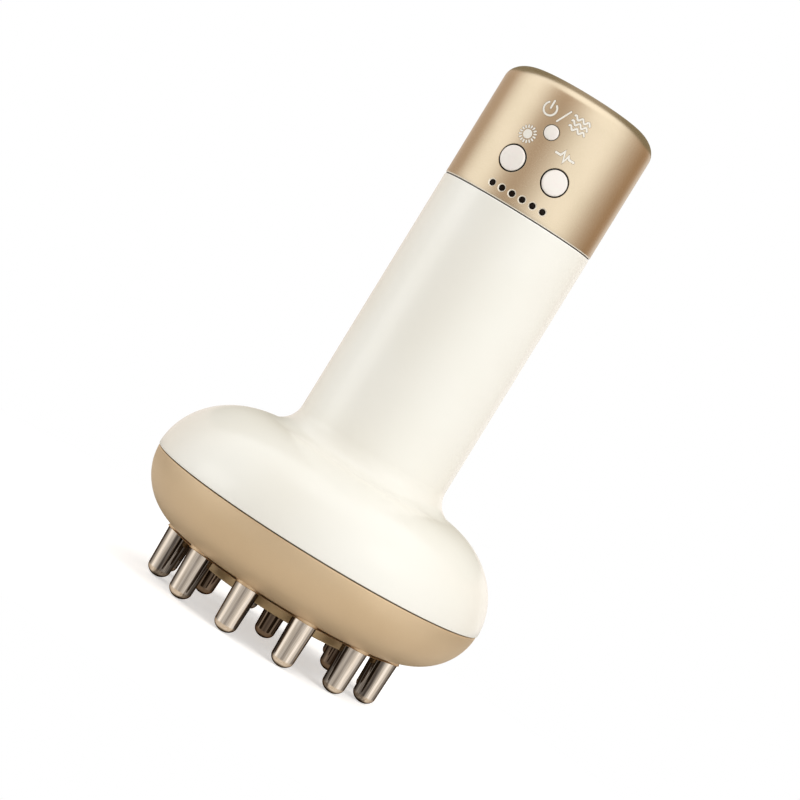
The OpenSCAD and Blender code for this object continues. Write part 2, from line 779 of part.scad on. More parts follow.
module cell_tabs() {
    tab_w = 5;
    tab_r = 6;
    color("silver") for (z = [cell_z - tab_t - tab_gap, cell_z + cell_l + tab_gap])
        translate([0, cell_y, z]) {
            cylinder(r = tab_r, h = tab_t);
            translate([0, -tab_w / 2, 0]) cube([cell_d / 2 + 1, tab_w, tab_t]);
        }
}

module control_board() {
    color("darkgreen") difference() {
        translate([-board_w / 2, board_front_y, board_z]) cube([board_w, board_t, board_l]);
        for (p = board_posts()) translate([p[0], board_back_y + cut, p[1]])
            rotate([90, 0, 0]) cylinder(d = screw_hole_d, h = board_t + 2 * cut);
    }
}

// Chip, pulse transformer, coil, capacitors and plugs on the board's front
module board_parts() {
    // Chip and transformer: left edge, height on the board, width, depth off the board, length
    blocks = [[-3.5, 28, 7, 1, 7], [-13.5, 15, 9, 6.5, 10]];
    // Coil and capacitors: middle, height on the board, radius, depth off the board
    rounds = [[9, 20, 4, 3.5], [7, 29, 2, 5.5], [12, 29, 2, 5.5]];
    plug_l = 5;
    color([0.12, 0.12, 0.13]) {
        for (b = blocks) translate([b[0], board_front_y - b[3], board_z + b[1]]) cube([b[2], b[3], b[4]]);
        for (c = rounds) translate([c[0], board_front_y, board_z + c[1]])
            rotate([90, 0, 0]) cylinder(r = c[2], h = c[3]);
        translate([-ribbon_plug_w / 2, board_front_y - ribbon_plug_h + ribbon_gap, ribbon_plug_z])
            cube([ribbon_plug_w, ribbon_plug_h - ribbon_gap, ribbon_plug_l]);
        for (k = [-1:1]) translate([k * plug_pitch - plug_w / 2, board_front_y - plug_out, plug_z])
            cube([plug_w, plug_out, plug_l]);
    }
}

module board_screws() {
    color("silver") for (p = board_posts()) translate([p[0], board_front_y, p[1]]) rotate([90, 0, 0])
        screw(board_t + post_l, head_d = 3.2, head_h = 1.2);
}

// Motor

module along_motor(x) {
    translate([x, 0, motor_z]) rotate([0, 90, 0]) children();
}

module motor_can() {
    vent_w = 2;
    color("silver") difference() {
        union() {
            along_motor(motor_x + end_cap_t) cylinder(d = motor_d, h = motor_l - end_cap_t);
            along_motor(motor_front_x) cylinder(r = nose_r, h = nose_l);
        }
        along_motor(shaft_tail_x - 0.5) cylinder(r = shaft_r + turn_gap, h = motor_l + nose_l + cut);
        for (a = [90, 270]) along_motor(motor_front_x - 0.6) rotate([0, 0, a])
            translate([4, -vent_w / 2, 0]) cube([3, vent_w, 0.6 + cut]);
    }
}

module motor_end_cap() {
    terminal = [3, 2, 0.5];
    root = 0.5;
    color([0.9, 0.9, 0.85]) {
        along_motor(motor_x) cylinder(d = motor_d - 0.6, h = end_cap_t);
        for (s = [-1, 1]) translate([motor_x + root, s * terminal_y, motor_z])
            translate([-terminal[0], -terminal[1] / 2, -terminal[2] / 2]) cube(terminal);
    }
}

module motor_shaft() {
    color("silver") along_motor(shaft_tail_x) cylinder(r = shaft_r, h = shaft_end_x - shaft_tail_x);
}

// Half disc whose hub sits on the shaft
module eccentric_weight() {
    color([0.72, 0.6, 0.3]) along_motor(weight_x) linear_extrude(weight_t) difference() {
        union() {
            circle(r = weight_hub_r);
            intersection() {
                circle(r = weight_r);
                translate([0, -weight_r]) square([weight_r, 2 * weight_r]);
            }
        }
        circle(r = shaft_r + 0.01);
    }
}

module motor_sleeve() {
    color([0.1, 0.1, 0.1]) along_motor(sleeve_x) difference() {
        cylinder(r = sleeve_r, h = sleeve_l);
        translate([0, 0, -cut]) cylinder(d = motor_d + 0.02, h = sleeve_l + 2 * cut);
    }
}

// Saddle with two ribs, open upwards to take the motor
module motor_cradle() {
    corner_r = 3;
    window_w = 12;
    window_edge = 2;
    ear_h = 6;
    ear_end = ear_y + ear_out;
    color([0.85, 0.85, 0.82]) difference() {
        union() {
            translate([0, 0, cradle_z]) linear_extrude(cradle_t) difference() {
                union() {
                    square([cradle_w, cradle_w - 2 * corner_r], center = true);
                    square([cradle_w - 2 * corner_r, cradle_w], center = true);
                    for (x = [-1, 1]) for (y = [-1, 1])
                        translate([x, y] * (cradle_w / 2 - corner_r)) circle(r = corner_r);
                }
                translate([rib_xs[0] + rib_t + window_edge, -window_w / 2])
                    square([rib_xs[1] - rib_xs[0] - rib_t - 2 * window_edge, window_w]);
            }
            for (x = rib_xs) translate([x, 0, 0]) rotate([90, 0, 90]) linear_extrude(rib_t) polygon([
                [-sleeve_r, cradle_z + 0.1], [sleeve_r, cradle_z + 0.1], [ear_end, motor_z - ear_h],
                [ear_end, motor_z], [-ear_end, motor_z], [-ear_end, motor_z - ear_h]]);
        }
        along_motor(rib_xs[0] - cut) cylinder(r = sleeve_r + motor_gap, h = sleeve_l + 2 * cut);
        for (x = rib_xs) for (s = [-1, 1])
            translate([x + rib_t / 2, s * ear_y, motor_z - ear_h]) cylinder(d = pilot_d, h = ear_h + cut);
        cradle_corners() translate([0, 0, cradle_z - cut]) cylinder(d = screw_hole_d, h = cradle_t + 2 * cut);
    }
}

// Strap over the motor, screwed to the ribs
module motor_clamp() {
    low_z = motor_z + clamp_gap;
    length = rib_xs[1] + rib_t - rib_xs[0];
    strap_r = sleeve_r + motor_gap + clamp_t;
    color([0.85, 0.85, 0.82]) difference() {
        union() {
            along_motor(rib_xs[0]) cylinder(r = strap_r, h = length);
            for (s = [-1, 1]) translate([rib_xs[0], s > 0 ? strap_r - 1 : -ear_y - ear_out, low_z])
                cube([length, ear_y + ear_out - strap_r + 1, clamp_ear_t]);
        }
        along_motor(rib_xs[0] - cut) cylinder(r = sleeve_r + motor_gap, h = length + 2 * cut);
        translate([rib_xs[0] - cut, -2 * sleeve_r, low_z - 2 * sleeve_r])
            cube([length + 2 * cut, 4 * sleeve_r, 2 * sleeve_r]);
        for (x = rib_xs) for (s = [-1, 1]) translate([x + rib_t / 2, s * ear_y, low_z - cut])
            cylinder(d = screw_hole_d, h = clamp_ear_t + 2 * cut);
    }
}

module clamp_screws() {
    color("silver") for (x = rib_xs) for (s = [-1, 1])
        translate([x + rib_t / 2, s * ear_y, motor_z + clamp_gap + clamp_ear_t]) screw(6, head_d = 3);
}

module cradle_screws() {
    color("silver") cradle_corners() translate([0, 0, cradle_z + cradle_t]) screw(5, head_d = 3.4);
}

// Head

module snap_hook() {
    rotate([0, 0, -hook_turn / 2]) rotate_extrude(angle = hook_turn) polygon([
        [hook_r - hook_t, seam_z - tongue_root], [hook_r, seam_z - tongue_root], [hook_r, catch_z],
        [hook_r + hook_catch, catch_z], [hook_r, catch_z + hook_slope],
        [hook_r - hook_t / 2, catch_z + hook_tip], [hook_r - hook_t, catch_z + hook_tip]]);
}

module head_base() {
    rim_z = seam_z - seam_gap / 2;
    root_z = seam_z - tongue_root;
    color([0.76, 0.65, 0.49]) difference() {
        union() {
            rotate_extrude() polygon(concat(
                [[0, base_z]], base_line(0, 0), reversed(base_line(base_wall, floor_turn)),
                [[floor_r, floor_z], [0, floor_z]]));
            rotate_extrude() polygon([
                [tongue_r - tongue_t, root_z], [tongue_r + tongue_foot, root_z],
                [tongue_r + tongue_foot, rim_z], [tongue_r, rim_z], [tongue_r, seam_z + tongue_h],
                [tongue_r - tongue_t, seam_z + tongue_h]]);
            for (i = [0:hook_count - 1]) rotate([0, 0, (i + 0.5) * 360 / hook_count]) snap_hook();
            cradle_corners() translate([0, 0, floor_z - 0.1])
                cylinder(r = cradle_boss_out_r, h = boss_up + 0.1);
        }
        translate([0, 0, base_z - cut]) cylinder(d = spigot_d + 2 * fit_gap, h = base_wall + 2 * cut);
        outer_places() {
            translate([0, 0, base_z - cut]) cylinder(d = stud_hole_d, h = base_wall + 2 * cut);
            translate([0, 0, base_z - cut]) cylinder(d = outer_base_d + 2 * fit_gap, h = rod_seat + cut);
        }
        inner_places() translate([0, 0, base_z - cut]) cylinder(d = stud_hole_d, h = base_wall + 2 * cut);
        cradle_corners() translate([0, 0, floor_z + boss_floor]) cylinder(d = pilot_d, h = boss_up + cut);
    }
}

module centre_plate() {
    r = plate_d / 2;
    edge = plate_edge;
    spigot_top_z = floor_z - 0.2;
    color([0.74, 0.62, 0.46]) difference() {
        rotate_extrude() polygon(concat(
            [[0, plate_z]],
            [for (a = [-90:15:0]) [r - edge + edge * cos(a), plate_z + edge + edge * sin(a)]],
            [[r, base_z], [spigot_d / 2, base_z], [spigot_d / 2, spigot_top_z], [0, spigot_top_z]]));
        inner_places() {
            translate([0, 0, plate_z - cut]) cylinder(d = stud_hole_d, h = plate_t + 2 * cut);
            translate([0, 0, plate_z - cut]) cylinder(d = inner_base_d + 2 * fit_gap, h = rod_seat + cut);
        }
    }
}

// Turned rod with a round tip, a slight taper and a stud behind its shoulder
module rod(tip_z, shoulder_z, tip_d, base_d) {
    r = tip_d / 2;
    tip_h = r * tip_round;
    rotate_extrude() polygon(concat(
        [for (a = [-90:10:0]) [r * cos(a), tip_z + tip_h + tip_h * sin(a)]],
        [[base_d / 2, shoulder_z], [stud_d / 2, shoulder_z], [stud_d / 2, stud_top_z], [0, stud_top_z]]));
}

module outer_electrodes() {
    color([0.82, 0.79, 0.74]) outer_places() rod(0, base_z + rod_seat, outer_tip_d, outer_base_d);
}

module inner_electrodes() {
    color([0.82, 0.79, 0.74]) inner_places()
        rod(plate_z - inner_reach, plate_z + rod_seat, inner_tip_d, inner_base_d);
}

module contact_ring(r) {
    tube(contact_z, contact_t, r + contact_half, r - contact_half);
}

module outer_contact_ring() {
    color([0.8, 0.65, 0.35]) difference() {
        contact_ring(outer_circle_r);
        outer_places() translate([0, 0, contact_z - cut]) cylinder(d = stud_hole_d, h = contact_t + 2 * cut);
    }
}

module inner_contact_ring() {
    color([0.8, 0.65, 0.35]) difference() {
        contact_ring(inner_circle_r);
        inner_places() translate([0, 0, contact_z - cut]) cylinder(d = stud_hole_d, h = contact_t + 2 * cut);
    }
}

module nut() {
    translate([0, 0, nut_z]) difference() {
        cylinder(r = nut_corner_r, h = nut_h, $fn = 6);
        translate([0, 0, -cut]) cylinder(d = stud_d + 0.1, h = nut_h + 2 * cut);
    }
}

module electrode_nuts() {
    color("silver") {
        outer_places() nut();
        inner_places() nut();
    }
}

module heater_film() {
    color([0.7, 0.4, 0.1]) difference() {
        tube(floor_z, film_t, film_out_r, film_in_r);
        outer_places() translate([0, 0, floor_z - cut]) cylinder(d = stud_hole_d + 0.4, h = film_t + 2 * cut);
        inner_places() translate([0, 0, floor_z - cut]) cylinder(d = stud_hole_d + 0.4, h = film_t + 2 * cut);
        cradle_corners() translate([0, 0, floor_z - cut])
            cylinder(r = cradle_boss_out_r + 0.2, h = film_t + 2 * cut);
    }
}

module head_gasket() {
    rest = gasket_d / 2 + 0.02;
    color([0.15, 0.15, 0.15]) rotate_extrude()
        translate([tongue_r + rest, seam_z - seam_gap / 2 + rest]) circle(d = gasket_d);
}

// Wires

module battery_leads() {
    x = cell_d / 2 + 1.75;
    side_x = spine_w / 2 + 2;
    end_y = board_back_y + wire_d / 2 + 0.05;
    color("firebrick") for (e = [[cell_z + cell_l + tab_t / 2, -1], [cell_z - tab_t / 2, 1]])
        wire([[x, cell_y, e[0] + e[1] * 0.6], [x + 1, cell_y - 4, e[0] + e[1] * 3],
            [side_x, spine_back_y, e[0] + e[1] * 8], [side_x, end_y, e[0] + e[1] * 12]]);
}

module charge_leads() {
    gap_z = (frame_floor_z + chassis_top_z) / 2;
    color("firebrick") for (x = [-1.2, 1.2])
        wire([[x, charge_board_y - charge_board_l - 0.7, charge_board_z + charge_board_t / 2],
            [x, 3, charge_board_z - 3], [x, 1, frame_floor_z + 4], [x, -1.5, gap_z + 1],
            [x * 5, board_front_y - 3, gap_z], [x * 7, board_front_y - 2.5, chassis_top_z - 3],
            [x * 7, board_front_y - 0.75, board_z + board_l - 4]]);
}

// Last stretch of a wire, up through the chassis's front window into plug k
function to_plug(k, s) = let (x = k * plug_pitch + s * wire_pair) [
    [x, -14.5, chassis_z - 6], [x, board_front_y - 4.3, chassis_z + 1],
    [x, board_front_y - plug_out / 2, plug_z - 2], [x, board_front_y - plug_out / 2, plug_z - 0.2]];

module motor_leads() {
    color("black") for (s = [-1, 1]) wire(concat([
        [motor_x - 1.8, s * terminal_y, motor_z + 0.95], [motor_x - 2.5, s * 4 - 1, motor_z + 8],
        [-12, s * 2 - 8, chassis_z - 9]], to_plug(-1, s)));
}

module electrode_leads() {
    lift_y = -cradle_w / 2 - 2;
    color("orange") {
        wire(concat([[3, -outer_circle_r, nut_z + wire_d / 2 + 0.05], [3, -outer_circle_r + 0.6, cradle_z],
            [3, lift_y - 3, cradle_z + 5], [2, -21, motor_z + 2]], to_plug(0, 1)));
        wire(concat([[-4.5, -inner_circle_r, nut_z + wire_d / 2 + 0.05], [-4.5, lift_y + 0.8, nut_z + 2],
            [-4.5, lift_y, cradle_z + 3], [-3, -20, motor_z + 2]], to_plug(0, -1)));
    }
}

module heater_leads() {
    r = cradle_boss_r;
    color("white") for (s = [-1, 1]) let (a = 24 + 3 * s, x = r * sin(a), y = -r * cos(a))
        wire(concat([[x, y, floor_z + film_t + wire_d / 2 + 0.05], [x, y, floor_z + 4],
            [x, y - 0.6, cradle_z + 4], [8 + s, -20, motor_z + 3]], to_plug(1, s)));
}

end_cap();
power_button();
heat_button();
pulse_button();
power_plunger();
heat_plunger();
pulse_plunger();
switch_bodies();
switch_flex();
flex_ribbon();
light_guide();
indicator_leds();
cap_frame();
frame_screws();
charging_socket();
charging_board();
handle_shell();
chassis();
battery_cell();
cell_tabs();
control_board();
board_parts();
board_screws();
motor_can();
motor_end_cap();
motor_shaft();
eccentric_weight();
motor_sleeve();
motor_cradle();
motor_clamp();
clamp_screws();
cradle_screws();
head_base();
centre_plate();
outer_electrodes();
inner_electrodes();
outer_contact_ring();
inner_contact_ring();
electrode_nuts();
heater_film();
head_gasket();
battery_leads();
charge_leads();
motor_leads();
electrode_leads();
heater_leads();
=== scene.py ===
import json
import math

import bmesh
import bpy
from mathutils import Matrix, Vector
from mathutils.geometry import delaunay_2d_cdt

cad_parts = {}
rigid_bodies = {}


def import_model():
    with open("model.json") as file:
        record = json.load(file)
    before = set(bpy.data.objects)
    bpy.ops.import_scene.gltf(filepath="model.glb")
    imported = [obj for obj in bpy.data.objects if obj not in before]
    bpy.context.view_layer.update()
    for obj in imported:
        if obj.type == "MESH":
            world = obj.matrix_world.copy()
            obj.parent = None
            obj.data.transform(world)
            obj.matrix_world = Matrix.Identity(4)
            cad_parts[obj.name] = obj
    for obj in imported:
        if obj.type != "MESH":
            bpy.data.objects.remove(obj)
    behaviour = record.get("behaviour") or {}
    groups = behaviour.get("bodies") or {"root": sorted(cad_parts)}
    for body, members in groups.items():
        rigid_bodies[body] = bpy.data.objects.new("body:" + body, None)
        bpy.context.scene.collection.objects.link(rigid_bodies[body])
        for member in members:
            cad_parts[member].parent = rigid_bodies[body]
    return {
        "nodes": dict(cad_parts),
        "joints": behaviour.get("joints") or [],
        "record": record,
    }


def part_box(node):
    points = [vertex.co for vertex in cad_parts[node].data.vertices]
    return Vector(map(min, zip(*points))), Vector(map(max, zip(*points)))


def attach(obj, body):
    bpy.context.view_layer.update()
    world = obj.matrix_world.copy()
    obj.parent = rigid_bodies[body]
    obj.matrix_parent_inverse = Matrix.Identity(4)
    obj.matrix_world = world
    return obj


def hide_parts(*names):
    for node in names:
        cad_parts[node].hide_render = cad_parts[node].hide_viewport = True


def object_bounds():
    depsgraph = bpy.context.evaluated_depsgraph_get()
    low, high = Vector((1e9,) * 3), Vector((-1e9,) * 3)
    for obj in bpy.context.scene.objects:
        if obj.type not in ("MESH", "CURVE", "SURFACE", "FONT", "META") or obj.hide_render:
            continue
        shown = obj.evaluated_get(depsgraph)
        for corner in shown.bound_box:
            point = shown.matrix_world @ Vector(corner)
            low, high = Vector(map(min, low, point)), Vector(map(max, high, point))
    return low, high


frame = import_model()
cadLow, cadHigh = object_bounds()
nodes = frame["nodes"]
scene = bpy.context.scene
mm = 0.001
quarter = math.pi / 2
print("stage: frame loaded with", len(nodes), "nodes")


# Main faces, read off the frame

capLow, capHigh = map(Vector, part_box("end_cap"))
shellLow, shellHigh = map(Vector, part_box("handle_shell"))
baseLow, baseHigh = map(Vector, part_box("head_base"))
plateLow, plateHigh = map(Vector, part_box("centre_plate"))
gripR = capHigh.x
headR = shellHigh.x
seamGap = capLow.z - shellHigh.z
capSeamZ = (capLow.z + shellHigh.z) / 2
headSeamZ = shellLow.z - seamGap / 2
baseZ = baseLow.z
capWall = 1.8 * mm
capBoreR = gripR - capWall


# Camera, at the photograph's angle

photoCamera = {
    "turn": 7.0,  # degrees round the object, from its front towards +X
    "distance": 688.6 * mm,  # from the object's axis
    "height": 93.1 * mm,  # above the tips of the rods
    "look down": 1.895,  # degrees below level
    "look left": 0.9 * mm,  # how far left of the axis the camera points
    "lean": 31.6,  # degrees that the object's top leans to the right
    "lens": 121.05,
}


def addCamera():
    look = photoCamera
    turn, down, lean = (math.radians(look[k]) for k in ("turn", "look down", "lean"))
    back = Vector((math.sin(turn), -math.cos(turn), 0))
    right = Vector((math.cos(turn), math.sin(turn), 0))
    place = back * look["distance"] + Vector((0, 0, look["height"]))
    level = (-back * look["distance"] - right * look["look left"]).normalized()
    right = level.cross(Vector((0, 0, 1))).normalized()
    ahead = level * math.cos(down) - Vector((0, 0, math.sin(down)))
    up = right.cross(ahead)
    leaningRight = right * math.cos(lean) + up * math.sin(lean)
    leaningUp = up * math.cos(lean) - right * math.sin(lean)
    data = bpy.data.cameras.new("camera")
    data.lens = look["lens"]
    data.clip_start = 0.05
    camera = bpy.data.objects.new("camera", data)
    scene.collection.objects.link(camera)
    rows = [(leaningRight[i], leaningUp[i], -ahead[i], place[i]) for i in range(3)]
    camera.matrix_world = Matrix((*rows, (0, 0, 0, 1)))
    scene.camera = camera


addCamera()
print("stage: camera")


# Node trees, written as sums

class Wire:  # an output socket that can be added to, multiplied and so on
    def __init__(self, graph, socket):
        self.graph = graph
        self.socket = socket

    def output(self, name):
        return Wire(self.graph, self.socket.node.outputs[name])

    def math(self, operation, *others):
        return self.graph.add("ShaderNodeMath", {"operation": operation}, (self, *others))

    def reflected(self, operation, other):
        return self.graph.add("ShaderNodeMath", {"operation": operation}, (other, self))

    def __add__(self, other):
        return self.math("ADD", other)

    def __radd__(self, other):
        return self.reflected("ADD", other)

    def __sub__(self, other):
        return self.math("SUBTRACT", other)

    def __rsub__(self, other):
        return self.reflected("SUBTRACT", other)

    def __mul__(self, other):
        return self.math("MULTIPLY", other)

    def __rmul__(self, other):
        return self.reflected("MULTIPLY", other)

    def __truediv__(self, other):
        return self.math("DIVIDE", other)

    def __rtruediv__(self, other):
        return self.reflected("DIVIDE", other)

    def __lt__(self, other):
        return self.math("LESS_THAN", other)


class Graph:  # a node tree that grows by one node a call
    def __init__(self, tree):
        self.tree = tree
        tree.nodes.clear()

    def add(self, kind, settings=None, inputs=(), out=0):
        node = self.tree.nodes.new(kind)
        for name, value in (settings or {}).items():
            if name == "stops":
                self.setStops(node.color_ramp, value)
            else:
                setattr(node, name, value)
        for key, value in inputs.items() if isinstance(inputs, dict) else enumerate(inputs):
            if isinstance(value, Wire):
                self.tree.links.new(value.socket, node.inputs[key])
            else:
                node.inputs[key].default_value = value
        return Wire(self, node.outputs[out]) if node.outputs else node

    def setStops(self, ramp, stops):
        while len(ramp.elements) < len(stops):
            ramp.elements.new(0.5)
        for element, (place, colour) in zip(ramp.elements, stops):
            element.position = place
            element.color = (*colour, 1) if isinstance(colour, tuple) else (colour, colour, colour, 1)

    def place(self):
        return self.add("ShaderNodeTexCoord", out="Object")

    def height(self, place):
        return self.add("ShaderNodeSeparateXYZ", {}, (place,), out="Z")

    def length(self, vector):
        return self.add("ShaderNodeVectorMath", {"operation": "LENGTH"}, (vector,), out="Value")

    def stretch(self, vector, scale):
        return self.add("ShaderNodeVectorMath", {"operation": "MULTIPLY"}, (vector, scale))

    def blend(self, share, first, second):
        first, second = (c if isinstance(c, Wire) else (*c, 1) for c in (first, second))
        return self.add("ShaderNodeMix", {"data_type": "RGBA"}, {0: share, 6: first, 7: second}, out=2)

    def noise(self, vector, size, detail=2.0, rough=0.5):
        inputs = {"Vector": vector, "Scale": 1 / size, "Detail": detail, "Roughness": rough}
        return self.add("ShaderNodeTexNoise", {}, inputs)

    def ease(self, value, low, high, first=0.0, second=1.0):
        settings = {"interpolation_type": "SMOOTHSTEP"}
        return self.add("ShaderNodeMapRange", settings, (value, low, high, first, second))

    def patches(self, vector, size, detail=3, rough=0.5, between=(0.3, 0.7)):
        return self.ease(self.noise(vector, size, detail, rough), *between)

    def bump(self, height, depth):
        inputs = {"Strength": 1.0, "Distance": depth, "Height": height}
        return self.add("ShaderNodeBump", {}, inputs)


def dimmed(colour, by):  # by one number, or by one for each channel
    return tuple(c * b for c, b in zip(colour, by if isinstance(by, tuple) else (by,) * 3))


# Material: constants sit on the shader's own sockets, and paint adds what varies over the surface
def makeMaterial(name, constants, paint):
    material = bpy.data.materials.new(name)
    material.use_nodes = True
    graph = Graph(material.node_tree)
    varying = paint(graph)
    shader = graph.add("ShaderNodeBsdfPrincipled", {}, {**constants, **varying})
    graph.add("ShaderNodeOutputMaterial", {}, {"Surface": shader})
    return material


# Moulded plastic or rubber: slow change of tone, fine grain in gloss and surface
plasticLook = {
    "cloud": 14 * mm,
    "grain": 0.25 * mm,
    "depth": 0.004 * mm,
    "tone": 0.06,  # how much darker the deep places are
    "uneven gloss": (0.12, 0.05),  # with the grain, and with the cloud
}


def mouldedPlastic(name, colour, roughness, **changes):
    look = {**plasticLook, **changes}

    def paint(graph):
        place = graph.place()
        cloud = graph.patches(place, look["cloud"])
        speck = graph.noise(place, look["grain"])
        fine, slow = look["uneven gloss"]
        return {
            "Base Color": graph.blend(cloud, dimmed(colour, 1 - look["tone"]), colour),
            "Roughness": roughness + (speck - 0.5) * fine + (cloud - 0.5) * slow,
            "Normal": graph.bump(speck, look["depth"]),
        }

    return makeMaterial(name, {"Metallic": 0.0}, paint)


# Turned, drawn or stamped metal: fine lines along one axis, with duller stains
metalLook = {
    "pitch": 0.12 * mm,
    "depth": 0.002 * mm,
    "stain": 5 * mm,
    "tone": 0.14,  # how much darker the stains are
    "uneven gloss": (0.2, 0.06),  # with the lines, and with the stains
}


# The lines run along the axis whose stretch is small
def workedMetal(name, colour, roughness, stretch=(1, 1, 0.02)):
    look = metalLook

    def paint(graph):
        place = graph.place()
        line = graph.noise(graph.stretch(place, stretch), look["pitch"], 3, 0.6)
        stain = graph.patches(place, look["stain"], 4, 0.6, (0.35, 0.75))
        fine, slow = look["uneven gloss"]
        return {
            "Base Color": graph.blend(stain, colour, dimmed(colour, 1 - look["tone"])),
            "Roughness": roughness + (line - 0.5) * fine + stain * slow,
            "Normal": graph.bump(line, look["depth"]),
        }

    return makeMaterial(name, {"Metallic": 1.0}, paint)


# Satin champagne finish of the cap: blasted grain, a little duller where it is handled
champagneLook = {
    "colour": (0.63, 0.53, 0.386),
    "deep": (0.61, 0.515, 0.371),
    "cloud": 9 * mm,
    "roughness": 0.26,
    "grain": 0.11 * mm,
    "grain depth": 0.0012 * mm,
    "handled": 3 * mm,  # how far it reaches above the seam
    "uneven gloss": (0.12, 0.04),  # with the grain, and where it is handled
}


def champagneMetal():
    look = champagneLook

    def paint(graph):
        place = graph.place()
        grain = graph.noise(place, look["grain"], 2, 0.6)
        cloud = graph.patches(place, look["cloud"])
        handled = graph.ease(graph.height(place), capSeamZ, capSeamZ + look["handled"], 1.0, 0.0) * cloud
        fine, slow = look["uneven gloss"]
        return {
            "Base Color": graph.blend(cloud, look["deep"], look["colour"]),
            "Roughness": look["roughness"] + (grain - 0.5) * fine + handled * slow,
            "Normal": graph.bump(grain, look["grain depth"]),
        }

    return makeMaterial("champagne metal", {"Metallic": 1.0}, paint)


# Share of a painted highlight along a rim, in the last stretch under a height
def paintedRimHighlight(graph, place, top, reach):
    return graph.ease(graph.height(place), top - reach, top - reach / 2)


# Cream moulding of grip and bell: gloss with a faint ripple, a little handling haze, and a painted highlight
# along its top edge
creamLook = {
    "colour": (0.905, 0.88, 0.80),
    "warm": (0.885, 0.855, 0.765),
    "cloud": 35 * mm,
    "rim": (0.98, 0.96, 0.90),  # painted highlight along the edge under the cap
    "rim reach": 0.35 * mm,
    "ripple": (3.5 * mm, 0.008 * mm),  # length and depth
    "haze": 11 * mm,
    "speck": 0.2 * mm,
    "roughness": 0.22,
    "uneven gloss": (0.02, 0.03),  # with the haze, and with the speck
}


def creamGloss():
    look = creamLook

    def paint(graph):
        place = graph.place()
        cloud = graph.patches(place, look["cloud"], 2)
        haze = graph.patches(place, look["haze"], 5, 0.65, (0.45, 0.8))
        speck = graph.noise(place, look["speck"], 1)
        rippleLength, rippleDepth = look["ripple"]
        # Painted highlight: a paler band along the top edge, under the cap
        rim = paintedRimHighlight(graph, place, shellHigh.z, look["rim reach"])
        slow, fine = look["uneven gloss"]
        return {
            "Base Color": graph.blend(rim, graph.blend(cloud, look["warm"], look["colour"]), look["rim"]),
            "Roughness": look["roughness"] + haze * slow + (speck - 0.5) * fine,
            "Normal": graph.bump(graph.noise(place, rippleLength, 1), rippleDepth),
        }

    return makeMaterial("cream gloss", {"Metallic": 0.0, "IOR": 1.56}, paint)


# Tan satin of base and plate: fine pearl in the paint, a painted highlight along the edge under the seam, and
# painted shade that darkens the plate
tanLook = {
    "colour": (0.675, 0.50, 0.303),
    "pearl": (0.81, 0.625, 0.407),
    # painted shade: how much darker the plate is, under the base
    "plate shade": (0.70, 0.66, 0.54),
    "flake": 0.09 * mm,
    "flake depth": 0.0015 * mm,
    "cloud": 20 * mm,
    "pearl share": (0.55, 0.25),  # in the flakes, and in the cloud
    "rim": (0.93, 0.82, 0.66),  # painted highlight along the edge under the seam
    "rim reach": 0.4 * mm,
    "roughness": 0.40,
    "uneven gloss": (0.12, 0.05),  # smoother in the flakes, and rougher with the cloud
    "metallic": (0.35, 0.3),  # of the paint, and how much more in the flakes
}


def tanSatin(name, shade=1):
    look = tanLook

    def paint(graph):
        place = graph.place()
        flake = graph.patches(place, look["flake"], 1, 0.5, (0.5, 0.75))
        cloud = graph.patches(place, look["cloud"])
        inFlake, inCloud = look["pearl share"]
        fine, slow = look["uneven gloss"]
        metallic, flakeMetallic = look["metallic"]
        colour, pearl = (dimmed(look[k], shade) for k in ("colour", "pearl"))
        satin = graph.blend(flake * inFlake + cloud * inCloud, colour, pearl)
        # Painted highlight: a paler band along the top edge, under the seam
        rim = paintedRimHighlight(graph, place, baseHigh.z, look["rim reach"])
        return {
            "Base Color": graph.blend(rim, satin, look["rim"]),
            "Roughness": look["roughness"] - flake * fine + cloud * slow,
            "Metallic": metallic + flake * flakeMetallic,
            "Normal": graph.bump(flake, look["flake depth"]),
        }

    return makeMaterial(name, {"IOR": 1.5}, paint)


# Polished steel of the rods: drawn lines along each rod, and where asked for, painted shade on the side of
# each rod that faces the other rods
rodLook = {
    "colour": (0.87, 0.765, 0.655),
    "deep": (0.73, 0.62, 0.50),
    "edge": (0.25, 0.20, 0.16, 1),
    "fine lines": ((1, 1, 0.015), 0.16 * mm),  # stretch and pitch
    "wide lines": ((1, 1, 0.03), 0.7 * mm),
    "fine share": 0.6,  # of the fine lines in the streaks
    "streaks": (0.38, 0.62),  # where they pass from deep to full colour
    "depth": 0.0035 * mm,
    "fine depth": 0.5,  # of the fine lines, as a share of the wide ones'
    "speck": 0.5 * mm,
    "roughness": 0.075,
    "uneven gloss": (0.1, 0.08),  # with the fine lines, and with the speck
    "stained": (0.13, 0.105, 0.085),  # painted shade, on the side that faces the other rods
    "stain turn": (0.27, 0.56),  # how far it faces outward, as a cosine
    "stain waver": 0.3,  # how much the wide lines move its edge
    "stain streaks": 0.22,
    "stained ring": (31.65 * mm, 3.3 * mm),  # radius of the rods' ring, and of a rod
    # painted shade: how much darker the inner rods' steel is, for the shade behind the outer rods
    "inner shade": (0.20, 0.16, 0.13),
}


